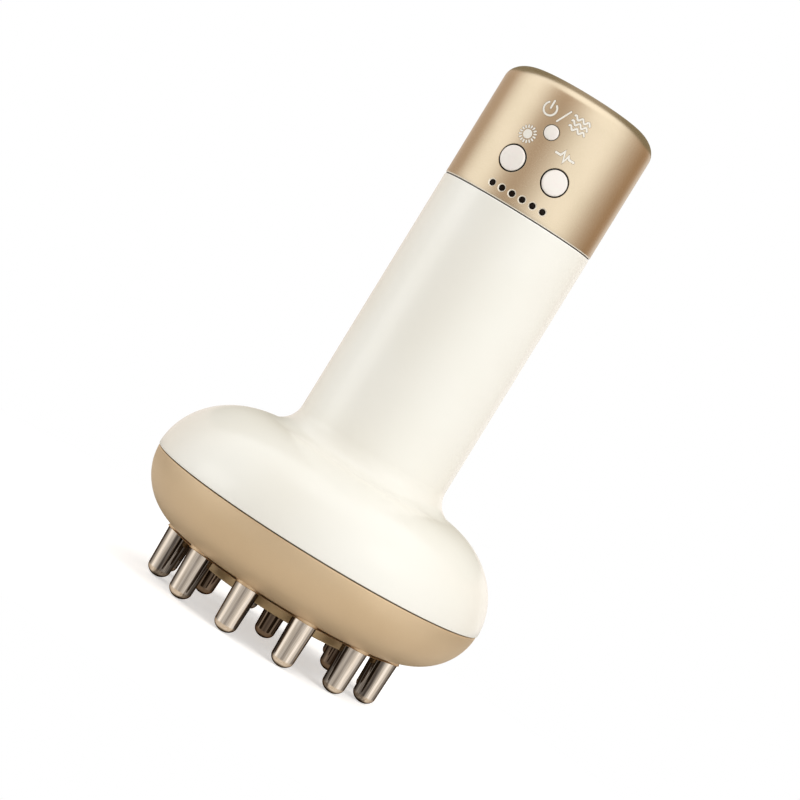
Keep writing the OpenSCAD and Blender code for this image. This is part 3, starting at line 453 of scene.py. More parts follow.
def polishedSteel(name, shade=1, stained=False):
    look = rodLook
    deep, colour = (dimmed(look[k], shade) for k in ("deep", "colour"))

    def paint(graph):
        place = graph.place()
        (fineStretch, finePitch), (wideStretch, widePitch) = look["fine lines"], look["wide lines"]
        share = look["fine share"]
        fine = graph.noise(graph.stretch(place, fineStretch), finePitch, 2, 0.6)
        wide = graph.noise(graph.stretch(place, wideStretch), widePitch, 1)
        speck = graph.patches(place, look["speck"], 4, 0.7, (0.55, 0.8))
        streaks = graph.ease(fine * share + wide * (1 - share), *look["streaks"])
        metal = graph.blend(streaks, deep, colour)
        # Painted shade: each rod is darker on the side that faces the other rods, with the wide lines moving
        # its edge
        if stained:
            ringR, rodR = look["stained ring"]
            outward = (graph.length(graph.stretch(place, (1, 1, 0))) - ringR) / rodR
            unshaded = graph.ease(outward + (wide - 0.5) * look["stain waver"], *look["stain turn"])
            unshaded += (1 - unshaded) * streaks * look["stain streaks"]
            metal = graph.blend(unshaded, look["stained"], metal)
        lines, specks = look["uneven gloss"]
        return {
            "Base Color": metal,
            "Roughness": look["roughness"] + (fine - 0.5) * lines + speck * specks,
            "Normal": graph.bump(fine * look["fine depth"] + wide, look["depth"]),
        }

    return makeMaterial(name, {"Metallic": 1.0, "Specular Tint": look["edge"]}, paint)


# Pearl of the buttons
pearlLook = {
    "tints": ((0.92, 0.845, 0.78), (0.91, 0.86, 0.785)),
    "swirl": 1.6 * mm,
    "flake colour": (0.95, 0.905, 0.84),
    "flake": 0.07 * mm,
    "flake share": 0.35,
    "roughness": (0.3, 0.1),  # of the pearl, and how much less in the flakes
    "fixed": {"Metallic": 0.0, "Coat Weight": 0.6, "Coat Roughness": 0.06, "IOR": 1.55},
}


def pearlGloss():
    look = pearlLook

    def paint(graph):
        place = graph.place()
        swirl = graph.patches(place, look["swirl"], 3, 0.6, (0.35, 0.65))
        flake = graph.patches(place, look["flake"], 1, 0.5, (0.5, 0.75))
        pearl = graph.blend(swirl, *look["tints"])
        roughness, less = look["roughness"]
        return {
            "Base Color": graph.blend(flake * look["flake share"], pearl, look["flake colour"]),
            "Roughness": roughness - flake * less,
        }

    return makeMaterial("pearl gloss", look["fixed"], paint)


# Lacquered circuit board: tracks that show through the green
boardLook = {
    "greens": ((0.02, 0.16, 0.06, 1), (0.015, 0.12, 0.05, 1)),
    "tracks": (0.05, 0.30, 0.12, 1),
    "track pitch": 1 / 420,
    "lacquer": (0.03, 0.2, 0.08),
    "lacquer share": 0.2,
    "weave": (0.5 * mm, 0.004 * mm),  # size and depth
    "roughness": (0.3, 0.15),  # and how much more with the weave
}


def boardGreen():
    look = boardLook
    weaveSize, weaveDepth = look["weave"]

    def paint(graph):
        place = graph.place()
        first, second = look["greens"]
        inputs = {"Vector": place, "Scale": 1 / look["track pitch"], "Mortar Size": 0.06,
                  "Color1": first, "Color2": second, "Mortar": look["tracks"]}
        track = graph.add("ShaderNodeTexBrick", {"offset": 0.35}, inputs)
        weave = graph.noise(place, weaveSize, 1)
        roughness, more = look["roughness"]
        return {
            "Base Color": graph.blend(weave * look["lacquer share"], track, look["lacquer"]),
            "Roughness": roughness + weave * more,
            "Normal": graph.bump(weave, weaveDepth),
        }

    return makeMaterial("board green", {"Metallic": 0.0, "IOR": 1.5}, paint)


# Two close tones in a fine speck: bright cut edge round the lamp holes, whose pale colour is partly painted
# highlight, smoked lens, and prints on the cap
speckledLooks = {
    "cut edge": {"tones": ((0.95, 0.88, 0.76), (0.88, 0.80, 0.66)), "speck": (0.08 * mm, 2, 0.5),
                 "roughness": 0.38, "uneven gloss": 0.1, "fixed": {"Metallic": 0.35}},
    "smoked lens": {"tones": ((0.004, 0.002, 0.001), (0.012, 0.006, 0.003)), "speck": (0.4 * mm, 2, 0.5),
                    "roughness": 0.17, "uneven gloss": 0.1, "fixed": {"Metallic": 0.0, "IOR": 1.2}},
    "pale print": {"tones": ((0.93, 0.89, 0.80), (0.88, 0.83, 0.73)), "speck": (0.12 * mm, 3, 0.6),
                   "roughness": 0.45, "uneven gloss": 0.15, "fixed": {"Metallic": 0.0}},
    "dark print edge": {"tones": ((0.24, 0.16, 0.09), (0.30, 0.21, 0.12)), "speck": (0.12 * mm, 3, 0.6),
                        "roughness": 0.5, "uneven gloss": 0.15, "fixed": {"Metallic": 0.0}},
}


def speckled(name):
    look = speckledLooks[name]

    def paint(graph):
        speck = graph.noise(graph.place(), *look["speck"])
        return {
            "Base Color": graph.blend(speck, *look["tones"]),
            "Roughness": look["roughness"] + (speck - 0.5) * look["uneven gloss"],
        }

    return makeMaterial(name, look["fixed"], paint)


materials = {
    "champagne_metal": champagneMetal(),
    "cream_gloss": creamGloss(),
    "tan_satin": tanSatin("tan satin"),
    # The plate: the base's tan, darker as painted shade
    "tan_plate": tanSatin("tan plate", tanLook["plate shade"]),
    "polished_rod": polishedSteel("polished steel", stained=True),
    "pearl": pearlGloss(),
    "smoked_lens": speckled("smoked lens"),
    "lamp_resin": mouldedPlastic("lamp resin", (0.86, 0.78, 0.42), 0.2),
    "dark_plastic": mouldedPlastic("dark plastic", (0.028, 0.024, 0.021), 0.5),
    "black_plastic": mouldedPlastic("black plastic", (0.012, 0.012, 0.013), 0.42),
    "white_nylon": mouldedPlastic("white nylon", (0.72, 0.70, 0.64), 0.48, grain=0.4 * mm),
    "flex_amber": mouldedPlastic("amber film", (0.52, 0.20, 0.035), 0.28, depth=0.002 * mm, tone=0.2),
    "cell_wrap": mouldedPlastic("cell wrap", (0.05, 0.17, 0.48), 0.3, grain=0.8 * mm),
    "seal_rubber": mouldedPlastic("seal rubber", (0.012,) * 3, 0.7, grain=0.15 * mm, depth=0.008 * mm),
    "red_wire": mouldedPlastic("red wire", (0.33, 0.012, 0.008), 0.42),
    "black_wire": mouldedPlastic("black wire", (0.01, 0.01, 0.01), 0.42),
    "orange_wire": mouldedPlastic("orange wire", (0.62, 0.14, 0.01), 0.42),
    "white_wire": mouldedPlastic("white wire", (0.78, 0.78, 0.74), 0.42),
    "board_green": boardGreen(),
    "zinc_steel": workedMetal("zinc steel", (0.60, 0.61, 0.62), 0.34),
    "motor_steel": workedMetal("motor steel", (0.58, 0.59, 0.60), 0.3, (0.02, 1, 1)),
    "nickel": workedMetal("plated nickel", (0.62, 0.59, 0.53), 0.24, (1, 0.05, 1)),
    "contact_brass": workedMetal("contact brass", (0.72, 0.50, 0.20), 0.3, (1, 1, 1)),
    "weight_brass": workedMetal("weight brass", (0.62, 0.44, 0.16), 0.26, (0.05, 1, 1)),
}
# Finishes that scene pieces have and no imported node
extraMaterials = {name: speckled(name) for name in ("cut edge", "pale print", "dark print edge")}
# Inner rods: the rods' steel, darker as painted shade
extraMaterials["inner rods"] = polishedSteel("dark polished steel", rodLook["inner shade"])
for nodeName, node in nodes.items():
    packedName = next((m.name for m in node.data.materials if m), "")
    finish = materials.get(packedName.split(".")[0])
    if finish is None:
        print("no material for", nodeName, packedName)
        continue
    for slot in node.material_slots:
        slot.material = finish
print("stage: materials", len(materials) + len(extraMaterials))


# Mesh helpers

weldReach = 0.002 * mm
sharpAngle = 35.0  # degrees between two faces, from which their edge shows


def aroundAxis(radius, angle):  # angles start at the front
    return radius * math.sin(angle), -radius * math.cos(angle)


def ringAngles(count):
    return [-quarter + math.tau * i / count for i in range(count)]


# Joins two rings by faces; a ring of one point closes the other to it
def stitch(bm, first, second, material=0):
    count = max(len(first), len(second))
    for i in range(count):
        j = (i + 1) % count
        corners = []
        for ring, k in ((first, i), (first, j), (second, j), (second, i)):
            v = ring[k % len(ring)]
            if v not in corners:
                corners.append(v)
        if len(corners) > 2:
            bm.faces.new(corners).material_index = material


def stitchAll(bm, rings, material=0):
    for first, second in zip(rings, rings[1:]):
        stitch(bm, first, second, material)


# Turns an outline of (radius, height) pairs round the Z axis, as a closed skin
def lathe(bm, outline, columns, closed=False, material=0):
    rings = []
    for radius, height in outline:
        turns = ringAngles(columns) if radius > 0 else (0,)
        rings.append([bm.verts.new((*aroundAxis(radius, a), height)) for a in turns])
    stitchAll(bm, rings + rings[:1] if closed else rings, material)


# Replaces corners of an outline by arcs; corners is {index: radius}
def roundedOutline(points, corners):
    steps = 5
    result = []
    for i, point in enumerate(points):
        if i not in corners:
            result.append(tuple(point))
            continue
        corner = Vector(point)
        before = (Vector(points[i - 1]) - corner).normalized()
        after = (Vector(points[(i + 1) % len(points)]) - corner).normalized()
        half = before.angle(after) / 2
        centre = corner + (before + after).normalized() * corners[i] / math.sin(half)
        start = (corner + before * corners[i] / math.tan(half) - centre).normalized()
        end = (corner + after * corners[i] / math.tan(half) - centre).normalized()
        for k in range(steps + 1):
            result.append(tuple(centre + start.slerp(end, k / steps) * corners[i]))
    return result


def arc(centre, radius, start, end, steps):
    angles = [math.radians(start + (end - start) * i / steps) for i in range(steps + 1)]
    return [(centre[0] + radius * math.cos(a), centre[1] + radius * math.sin(a)) for a in angles]


# Holes: each gives its outline, or one that is wider by out
def roundHole(radius, count):
    def outline(out=0.0):
        turns = [math.tau * i / count for i in range(count)]
        return [((radius + out) * math.cos(a), (radius + out) * math.sin(a)) for a in turns]

    return outline


def slotHole(width, height, count):
    def outline(out=0.0):
        points = []
        for i in range(count):
            a = math.tau * (i + 0.5) / count
            middle = math.copysign((width - height) / 2, math.cos(a))
            points.append((middle + (height / 2 + out) * math.cos(a), (height / 2 + out) * math.sin(a)))
        return points

    return outline


def inLoop(x, y, loop):
    inside = False
    for (x0, y0), (x1, y1) in zip(loop, loop[1:] + loop[:1]):
        if (y0 > y) != (y1 > y) and x < (x1 - x0) * (y - y0) / (y1 - y0) + x0:
            inside = not inside
    return inside


class Patch:  # a loop with its box, to tell quickly what lies in it
    def __init__(self, loop):
        self.loop = loop
        self.low = [min(p[k] for p in loop) for k in (0, 1)]
        self.high = [max(p[k] for p in loop) for k in (0, 1)]

    def holds(self, x, y):
        near = self.low[0] <= x <= self.high[0] and self.low[1] <= y <= self.high[1]
        return near and inLoop(x, y, self.loop)


# Fills a flat sheet between its edge and its holes with triangles, and lays it in space
def fillSheet(bm, edge, holes, loose, lay):
    points, links = [], []
    for loop in [edge, *holes]:
        start = len(points)
        points += loop
        links += [(start + i, start + (i + 1) % len(loop)) for i in range(len(loop))]
    points += loose
    scaled = [Vector((x / mm, y / mm)) for x, y in points]
    flat, _, faces, *_ = delaunay_2d_cdt(scaled, links, [], 0, 1e-6)
    gaps = [Patch([(x / mm, y / mm) for x, y in loop]) for loop in holes]
    verts = [bm.verts.new(lay(v.x * mm, v.y * mm)) for v in flat]
    for face in faces:
        x = sum(flat[i].x for i in face) / len(face)
        y = sum(flat[i].y for i in face) / len(face)
        if not any(gap.holds(x, y) for gap in gaps):
            bm.faces.new([verts[i] for i in face])


# Rings from a hole's edge on the outside to its edge on the inside, as (out, depth) pairs
def roundedEdge(size, steps=4):
    turns = [quarter * k / steps for k in range(steps + 1)]
    return [(size * (1 - math.sin(a)), size * (1 - math.cos(a))) for a in turns]


def makeObject(name, bm, materialList):
    bmesh.ops.remove_doubles(bm, verts=bm.verts, dist=weldReach)
    bmesh.ops.recalc_face_normals(bm, faces=bm.faces)
    mesh = bpy.data.meshes.new(name)
    bm.to_mesh(mesh)
    bm.free()
    obj = bpy.data.objects.new(name, mesh)
    scene.collection.objects.link(obj)
    for material in materialList:
        mesh.materials.append(material)
    shadeSmooth(mesh)
    return obj


def shadeSmooth(mesh):
    bm = bmesh.new()
    bm.from_mesh(mesh)
    for face in bm.faces:
        face.smooth = True
    for edge in bm.edges:
        if len(edge.link_faces) == 2:
            edge.smooth = edge.calc_face_angle(0) < math.radians(sharpAngle)
    bm.to_mesh(mesh)
    bm.free()


# Puts a piece on its body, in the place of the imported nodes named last
def standIn(obj, body, slotName, *replaced):
    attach(obj, body)
    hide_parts(*replaced)


# A place on the grip's radius: across to the right, up, and out from the axis
def radialLay(angle, height):
    sine, cosine = math.sin(angle), math.cos(angle)

    def lay(across, up, out):
        return Vector((out * sine + across * cosine, across * sine - out * cosine, height + up))

    return lay


# Cap: a drum with round top edge, perforated by the buttons' holes, the lamp holes and the charging port

capLook = {
    "columns": 180,
    "rows": 34,
    "top edge": (7.5 * mm, 5.6 * mm),  # reach inward, and down the wall
    "foot round": 0.26 * mm,
    "button gap": 0.35 * mm,
    "power gap": 0.15 * mm,
    "button hole round": 0.12 * mm,
    "lamp hole": 1.68 * mm,
    "lamp chamfer": 0.28 * mm,
    "lamp count": 6,
    "lamp pitch": 8.0,  # degrees
    "port": (9.8 * mm, 3.8 * mm),  # width and height
    "port round": 0.35 * mm,
    "hole points": {"button": 64, "lamp": 32, "port": 64},
    "hole support": (0.1 * mm, 0.35 * mm),  # loops of points round each hole, so that the wall stays round
    "hole clear": 0.6 * mm,  # the wall's own grid starts this far from a hole
}
flangeOut = 0.9 * mm  # of a button, beyond its stem


# Angle, height and stem radius of a button, from its box and the axis of its joint
def buttonPlace(node, joint):
    low, high = map(Vector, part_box(node))
    axis = next(j["axis"] for j in frame["joints"] if j["name"] == joint)
    return math.atan2(-axis[0], axis[1]), (low.z + high.z) / 2, (high.z - low.z) / 2 - flangeOut


buttons = {
    "power_button": buttonPlace("power_button", "power_press"),
    "heat_button": buttonPlace("heat_button", "heat_press"),
    "pulse_button": buttonPlace("pulse_button", "pulse_press"),
}
lampLow, lampHigh = map(Vector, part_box("light_guide"))
lampZ = (lampLow.z + lampHigh.z) / 2
portZ = next(m["pos_m"][2] for m in frame["record"]["mounts"] if m["name"] == "charging_port")


# Sheet round the axis, with the holes' outlines left open and support points near them
def drumSheet(bm, radius, low, high, columns, rows, holes):
    angles = [-quarter + math.tau * i / columns for i in range(columns + 1)]
    levels = [low + (high - low) * i / rows for i in range(rows + 1)]
    edge = [(a * radius, low) for a in angles] + [(angles[-1] * radius, z) for z in levels[1:]]
    edge += [(a * radius, high) for a in angles[-2::-1]] + [(angles[0] * radius, z) for z in levels[-2:0:-1]]

    def unrolled(angle, height, points):
        return [(radius * (angle + math.asin(s / radius)), height + t) for s, t in points]

    loops = [unrolled(angle, height, outline(out)) for angle, height, outline, out in holes]
    loose = []
    for angle, height, outline, out in holes:
        for more in capLook["hole support"]:
            loose += unrolled(angle, height, outline(out + more))
    margin = capLook["hole clear"]
    clear = [Patch(unrolled(angle, height, outline(out + margin))) for angle, height, outline, out in holes]
    grid = [(a * radius, z) for a in angles[1:-1] for z in levels[1:-1]]
    loose += [p for p in grid if not any(patch.holds(*p) for patch in clear)]
    fillSheet(bm, edge, loops, loose, lambda u, v: (*aroundAxis(radius, u / radius), v))


# Wall of a hole from one drum surface to the next, through its rounded or chamfered edge
def drumHole(bm, angle, height, outline, rings, outer, inner, edgeMaterial=0):
    lay = radialLay(angle, height)
    loops = []
    for out, depth in rings:
        loops.append([bm.verts.new(lay(s, t, math.sqrt(outer**2 - s * s) - depth)) for s, t in outline(out)])
    loops.append([bm.verts.new(lay(s, t, math.sqrt(inner**2 - s * s))) for s, t in outline()])
    for i, (first, second) in enumerate(zip(loops, loops[1:])):
        stitch(bm, first, second, edgeMaterial if i < len(rings) - 1 else 0)


# Every hole of the cap, as angle, height, outline, rings of its edge, and the edge's material
def capHoles():
    look = capLook
    points = look["hole points"]
    roundRings = roundedEdge(look["button hole round"])
    chamfer = [(look["lamp chamfer"], 0), (0, look["lamp chamfer"])]
    holes = []
    for name, (angle, height, stem) in buttons.items():
        gap = look["power gap"] if name == "power_button" else look["button gap"]
        holes.append((angle, height, roundHole(stem + gap, points["button"]), roundRings, 0))
    for i in range(look["lamp count"]):
        angle = math.radians((i - (look["lamp count"] - 1) / 2) * look["lamp pitch"])
        # The lamp holes' chamfer takes the pale cut edge, which is partly painted highlight
        holes.append((angle, lampZ, roundHole(look["lamp hole"] / 2, points["lamp"]), chamfer, 1))
    port = slotHole(*look["port"], points["port"])
    holes.append((math.pi, portZ, port, roundedEdge(look["port round"]), 0))
    return holes


def capPiece():
    look = capLook
    columns, foot, low, top = look["columns"], look["foot round"], capLow.z, capHigh.z
    edgeIn, edgeDown = look["top edge"]
    wallTop, edgeR = top - edgeDown, gripR - edgeIn
    holes = capHoles()
    outer = [(a, z, outline, rings[0][0]) for a, z, outline, rings, _ in holes]
    inner = [(a, z, outline, 0) for a, z, outline, _, _ in holes]
    bm = bmesh.new()
    drumSheet(bm, gripR, low + foot, wallTop, columns, look["rows"], outer)
    drumSheet(bm, capBoreR, low, wallTop, columns, look["rows"] // 2, inner)
    for angle, height, outline, rings, material in holes:
        drumHole(bm, angle, height, outline, rings, gripR, capBoreR, material)
    for thick, steps in ((0, 24), (capWall, 10)):
        reach = [(edgeIn - thick, edgeDown - thick, quarter * i / steps) for i in range(steps + 1)]
        edge = [(edgeR + a * math.cos(t), wallTop + b * math.sin(t)) for a, b, t in reach]
        flat = [(edgeR * share, top - thick) for share in (0.99, 0.6, 0.3, 0)]
        lathe(bm, edge + flat, columns)
    # Foot rim in the pale cut edge, which is partly painted highlight
    rim = arc((gripR - foot, low + foot), foot, 0, -90, 6)
    lathe(bm, rim, columns, material=1)
    lathe(bm, [rim[-1], (capBoreR, low)], columns)
    cap = makeObject("metal_cap", bm, [materials["champagne_metal"], extraMaterials["cut edge"]])
    standIn(cap, "root", "champagne_metal", "end_cap")


capPiece()
print("stage: cap")


# Buttons: a pearl dome with a soft edge, its flange and its foot

buttonLook = {
    "edge": 0.45 * mm,
    "crown": 0.12 * mm,
    "proud": 0.3 * mm,
    "foot radius": 1.2 * mm,
    "foot reach": 17.0 * mm,  # from the axis
    "flange thickness": 0.9 * mm,
    "flange gap": 0.3 * mm,
    "dark steps": 8,  # steps of the outline that are dark: foot, flange and stem, up into the gap, where the black is partly painted shade
    "columns": 72,
}


def buttonPiece(name):
    look = buttonLook
    angle, height, stem = buttons[name]
    footR, footReach = look["foot radius"], look["foot reach"]
    face = math.sqrt(capBoreR**2 - (stem + flangeOut) ** 2) - look["flange gap"]
    back = face - look["flange thickness"]
    edge = min(look["edge"], stem / 3)
    top = gripR + look["proud"]
    flat = stem - edge
    outline = [(0, footReach), (footR, footReach), (footR, back)]
    outline += [(stem + flangeOut, back), (stem + flangeOut, face), (stem, face)]
    outline += [(stem, face + (top - edge - face) * share) for share in (0.1, 0.5, 0.95)]
    outline += arc((flat, top - edge), edge, 0, 86, 10)
    outline += [(flat * s, top + look["crown"] * (1 - s * s)) for s in (0.9, 0.75, 0.6, 0.45, 0.3, 0.15, 0)]
    lay = radialLay(angle, height)
    bm = bmesh.new()
    rings = []
    for radius, reach in outline:
        circle = roundHole(radius, look["columns"])() if radius > 0 else [(0, 0)]
        rings.append([bm.verts.new(lay(s, t, reach)) for s, t in circle])
    dark = look["dark steps"]
    # Black foot, flange and stem; in the gap round the button the black is partly painted shade
    stitchAll(bm, rings[:dark + 1], 1)
    stitchAll(bm, rings[dark:])
    piece = makeObject(name.replace("_button", "_key"), bm, [materials["pearl"], materials["black_plastic"]])
    standIn(piece, name, "pearl", name)


for buttonName in buttons:
    buttonPiece(buttonName)
print("stage: buttons")


# Grip and bell: one moulding, a straight tube that runs through a hollow fillet into a quarter ellipse

bellLook = {
    "crown inset": 2.5 * mm,
    "crown height": 21 * mm,
    "neck radius": 6.5 * mm,
    "grip rows": (1 * mm, 30 * mm),  # below the top
    "wall": 2.4 * mm,
    "edge round": 0.22 * mm,
    "rebate": (1.27 * mm, 1.35 * mm),  # in from the bottom edge, and up
    "rebate clear": 1 * mm,  # from its top to the last row of the inner wall
    "rebate step": 0.1 * mm,
    "columns": 200,
}


# Outline of the moulding at a depth under its surface, from the cap down to the head's seam
def bellLine(depth, neckSteps, bellSteps):
    look = bellLook
    crownR = gripR + look["crown inset"]
    a, b = headR - crownR - depth, look["crown height"] - depth
    neck = look["neck radius"] + depth

    def bellPoint(t):
        return Vector((crownR + a * math.sin(t), headSeamZ + b * math.cos(t)))

    def bellNormal(t):
        return Vector((math.sin(t) / a, math.cos(t) / b)).normalized()

    # Where the neck's round touches the ellipse, found by halving
    low, high = 0.0, math.radians(60)
    for _ in range(40):
        touch = (low + high) / 2
        missing = bellPoint(touch).x + neck * bellNormal(touch).x - gripR - look["neck radius"]
        low, high = (low, touch) if missing > 0 else (touch, high)
    normal = bellNormal(touch)
    centre = bellPoint(touch) + neck * normal
    turn = math.atan2(normal.y, normal.x)
    last = math.acos(seamGap / 2 / b)
    points = [(gripR - depth, shellHigh.z)]
    for i in range(neckSteps + 1):
        s = turn * i / neckSteps
        points.append((centre.x - neck * math.cos(s), centre.y - neck * math.sin(s)))
    for i in range(1, bellSteps + 1):
        points.append(tuple(bellPoint(touch + (last - touch) * i / bellSteps)))
    return points


def shellPiece():
    look = bellLook
    outside = bellLine(0, 20, 60)
    straight = [(gripR, shellHigh.z - down) for down in look["grip rows"]]
    outside = [outside[0], *straight, *outside[1:]]
    inside = bellLine(look["wall"], 10, 24)
    rebateIn, rebateUp = look["rebate"]
    rebateR, rebateZ = headR - rebateIn, shellLow.z + rebateUp
    inside = [p for p in inside if p[1] > rebateZ + look["rebate clear"]]
    stepR = inside[-1][0] + look["rebate step"]
    outline = [*outside, (rebateR, shellLow.z), (rebateR, rebateZ), (stepR, rebateZ), *inside[::-1]]
    edges = {0: look["edge round"], len(outside) - 1: look["edge round"]}
    bm = bmesh.new()
    lathe(bm, roundedOutline(outline, edges), look["columns"], closed=True)
    shell = makeObject("grip_and_bell", bm, [materials["cream_gloss"]])
    standIn(shell, "root", "cream_gloss", "handle_shell")


shellPiece()
print("stage: grip and bell")


# Rod places, shared by base, plate and rods

rodLayout = {
    # Number, circle through the rods, turn of the first in degrees, and diameters at the ends
    "outer": {"count": 12, "circle": 63.3 * mm, "turn": 21.2, "base": 6.9 * mm, "tip": 6.2 * mm},
    "inner": {"count": 6, "circle": 43.0 * mm, "turn": 8.0, "base": 5.8 * mm, "tip": 5.4 * mm},
    "tip round": 0.8,  # height of a rod's tip as a share of its radius
    "seat": 1.0 * mm,
    "seat gap": 0.15 * mm,
    "seat round": 0.12 * mm,
    "stud": 3.0 * mm,
    "stud hole": 3.2 * mm,
    "hole points": 40,
}


def rodTurn(ring, i):
    return math.radians(ring["turn"] + i * 360 / ring["count"])


def rodSpots(ring):
    return [aroundAxis(ring["circle"] / 2, rodTurn(ring, i)) for i in range(ring["count"])]


# Level sheet with holes that run up from it to a second sheet.
# A hole is its centre and its rings, as (radius, depth) pairs
def levelSheets(bm, z, topZ, radius, topRadius, columns, holes):
    edgeRow, holeRow = 0.15 * mm, 0.1 * mm  # support points, inside the edge and round each hole

    def edge(r):
        return [aroundAxis(r, a) for a in ringAngles(columns)]

    def hole(centre, r):
        return [(centre[0] + s, centre[1] + t) for s, t in roundHole(r, rodLayout["hole points"])()]

    for height, reach, upper in ((z, radius, False), (topZ, topRadius, True)):
        loops, loose = [], edge(reach - edgeRow)
        for centre, rings in holes:
            size = rings[-1][0] if upper else rings[0][0]
            loops.append(hole(centre, size))
            loose += hole(centre, size + holeRow)
        fillSheet(bm, edge(reach), loops, loose, lambda u, v: (u, v, height))
    for centre, rings in holes:
        levels = [(r, z + depth) for r, depth in rings] + [(rings[-1][0], topZ)]
        stitchAll(bm, [[bm.verts.new((*p, level)) for p in hole(centre, r)] for r, level in levels])


# Rings of a rod's seat: rounded mouth, wall, floor, and the stud's hole
def seatRings(base):
    look = rodLayout
    mouth = base / 2 + look["seat gap"]
    rings = [(mouth + out, depth) for out, depth in roundedEdge(look["seat round"], 3)]
    return rings + [(mouth, look["seat"]), (look["stud hole"] / 2, look["seat"])]


# Base: a quarter ellipse under the seam, with the outer rods' seats in its flat

baseLook = {
    "flat radius": 30 * mm,
    "wall": 2.2 * mm,
    "rim round": 0.2 * mm,
    "floor radius": 35.5 * mm,
    "tongue": (43.13 * mm, 45.03 * mm, 2.2 * mm),  # inner and outer radius, height above the seam
    "tongue root": 3 * mm,
    "spigot hole": 9.3 * mm,
    "columns": 200,
}


def basePiece():
    look = baseLook
    flatR, floorR, wall, columns = (look[k] for k in ("flat radius", "floor radius", "wall", "columns"))
    a, b = baseHigh.x - flatR, headSeamZ - baseZ

    # Quarter ellipse, at a depth under the surface, between two turns from straight down
    def bowl(depth, start, end, steps):
        turns = [start + (end - start) * i / steps for i in range(steps + 1)]
        return [(flatR + (a - depth) * math.sin(t), headSeamZ - (b - depth) * math.cos(t)) for t in turns]

    outside = bowl(0, 0, math.acos(seamGap / 2 / b), 48)
    inside = bowl(wall, math.acos(seamGap / 2 / (b - wall)), math.asin((floorR - flatR) / (a - wall)), 24)
    floorZ = baseZ + wall
    outline = [*outside, *inside, (floorR, floorZ)]
    bm = bmesh.new()
    lathe(bm, roundedOutline(outline, {len(outside) - 1: look["rim round"]}), columns)
    holes = [(spot, seatRings(rodLayout["outer"]["base"])) for spot in rodSpots(rodLayout["outer"])]
    holes += [(spot, [(rodLayout["stud hole"] / 2, 0)]) for spot in rodSpots(rodLayout["inner"])]
    holes.append(((0, 0), [(look["spigot hole"] / 2, 0)]))
    levelSheets(bm, baseZ, floorZ, flatR, floorR, columns, holes)
    inR, outR, rise = look["tongue"]
    rootZ, topZ = headSeamZ - look["tongue root"], headSeamZ + rise
    lathe(bm, [(inR, rootZ), (outR, rootZ), (outR, topZ), (inR, topZ)], columns, closed=True)
    base = makeObject("tan_base", bm, [materials["tan_satin"]])
    standIn(base, "root", "tan_satin", "head_base")


# Centre plate, with its soft lower edge and the inner rods' seats

plateLook = {
    "edge": 0.6 * mm,
    "edge row": 0.1 * mm,  # of the last row of faces, against the base
    "spigot": 9 * mm,  # peg in the middle of the base
    "spigot top": 14.8 * mm,
    "columns": 160,
}


def platePiece():
    look = plateLook
    edge, columns, r = look["edge"], look["columns"], plateHigh.x
    spigotR, spigotTop, spigotRoot = look["spigot"] / 2, look["spigot top"], baseZ - edge
    bm = bmesh.new()
    softEdge = arc((r - edge, plateLow.z + edge), edge, -90, 0, 10)
    lathe(bm, [*softEdge, (r, baseZ - look["edge row"]), (r, baseZ)], columns)
    lathe(bm, [(0, spigotTop), (spigotR, spigotTop), (spigotR, spigotRoot), (0, spigotRoot)], columns)
    holes = [(spot, seatRings(rodLayout["inner"]["base"])) for spot in rodSpots(rodLayout["inner"])]
    levelSheets(bm, plateLow.z, baseZ, r - edge, r, columns, holes)
    plate = makeObject("raised_plate", bm, [materials["tan_plate"]])
    standIn(plate, "root", "tan_plate", "centre_plate")


basePiece()
platePiece()
print("stage: base and plate")


# Geometry Nodes: named inputs, one output

def startTree(name, inputs):
    tree = bpy.data.node_groups.new(name, "GeometryNodeTree")
    tree.interface.new_socket("Geometry", in_out="OUTPUT", socket_type="NodeSocketGeometry")
    for label, kind in inputs.items():
        tree.interface.new_socket(label, in_out="INPUT", socket_type="NodeSocket" + kind)
    graph = Graph(tree)
    return tree, graph, graph.add("NodeGroupInput")


# Runs the tree on an empty mesh and keeps the result as a plain one
def growPiece(name, tree, values):
    obj = bpy.data.objects.new(name, bpy.data.meshes.new(name + "_seed"))
    scene.collection.objects.link(obj)
    modifier = obj.modifiers.new("grow", "NODES")
    modifier.node_group = tree
    for item in tree.interface.items_tree:
        if item.item_type == "SOCKET" and item.in_out == "INPUT":
            modifier[item.identifier] = values[item.name]
    bpy.context.view_layer.update()
    evaluated = obj.evaluated_get(bpy.context.evaluated_depsgraph_get())
    grown = bpy.data.meshes.new_from_object(evaluated)
    obj.modifiers.clear()
    obj.data = grown
    grown.name = name
    shadeSmooth(grown)
    return obj


# Line whose first points turn round an end and whose others run along a side:
# gives the line, which points are on the end, their turn, and how far along the others are
def endAndSide(graph, steps, endShare):
    line = graph.add("GeometryNodeCurvePrimitiveLine")
    line = graph.add("GeometryNodeResampleCurve", {}, {"Curve": line, "Count": steps})
    share = graph.add("GeometryNodeInputIndex") / (steps - 1)
    turn = (share / endShare).math("MINIMUM", 1.0) * quarter
    along = ((share - endShare) / (1 - endShare)).math("MAXIMUM", 0.0)
    return line, share < endShare, turn, along


# Sweeps a circle up the line, with a height and a radius at each point
def sweepUp(graph, line, height, radius, sides):
    spot = graph.add("ShaderNodeCombineXYZ", {}, {"Z": height})
    line = graph.add("GeometryNodeSetPosition", {}, {"Geometry": line, "Position": spot})
    section = graph.add("GeometryNodeCurvePrimitiveCircle", {}, {"Resolution": sides, "Radius": 1.0})
    swept = {"Curve": line, "Profile Curve": section, "Fill Caps": True, "Scale": radius}
    return graph.add("GeometryNodeCurveToMesh", {}, swept)


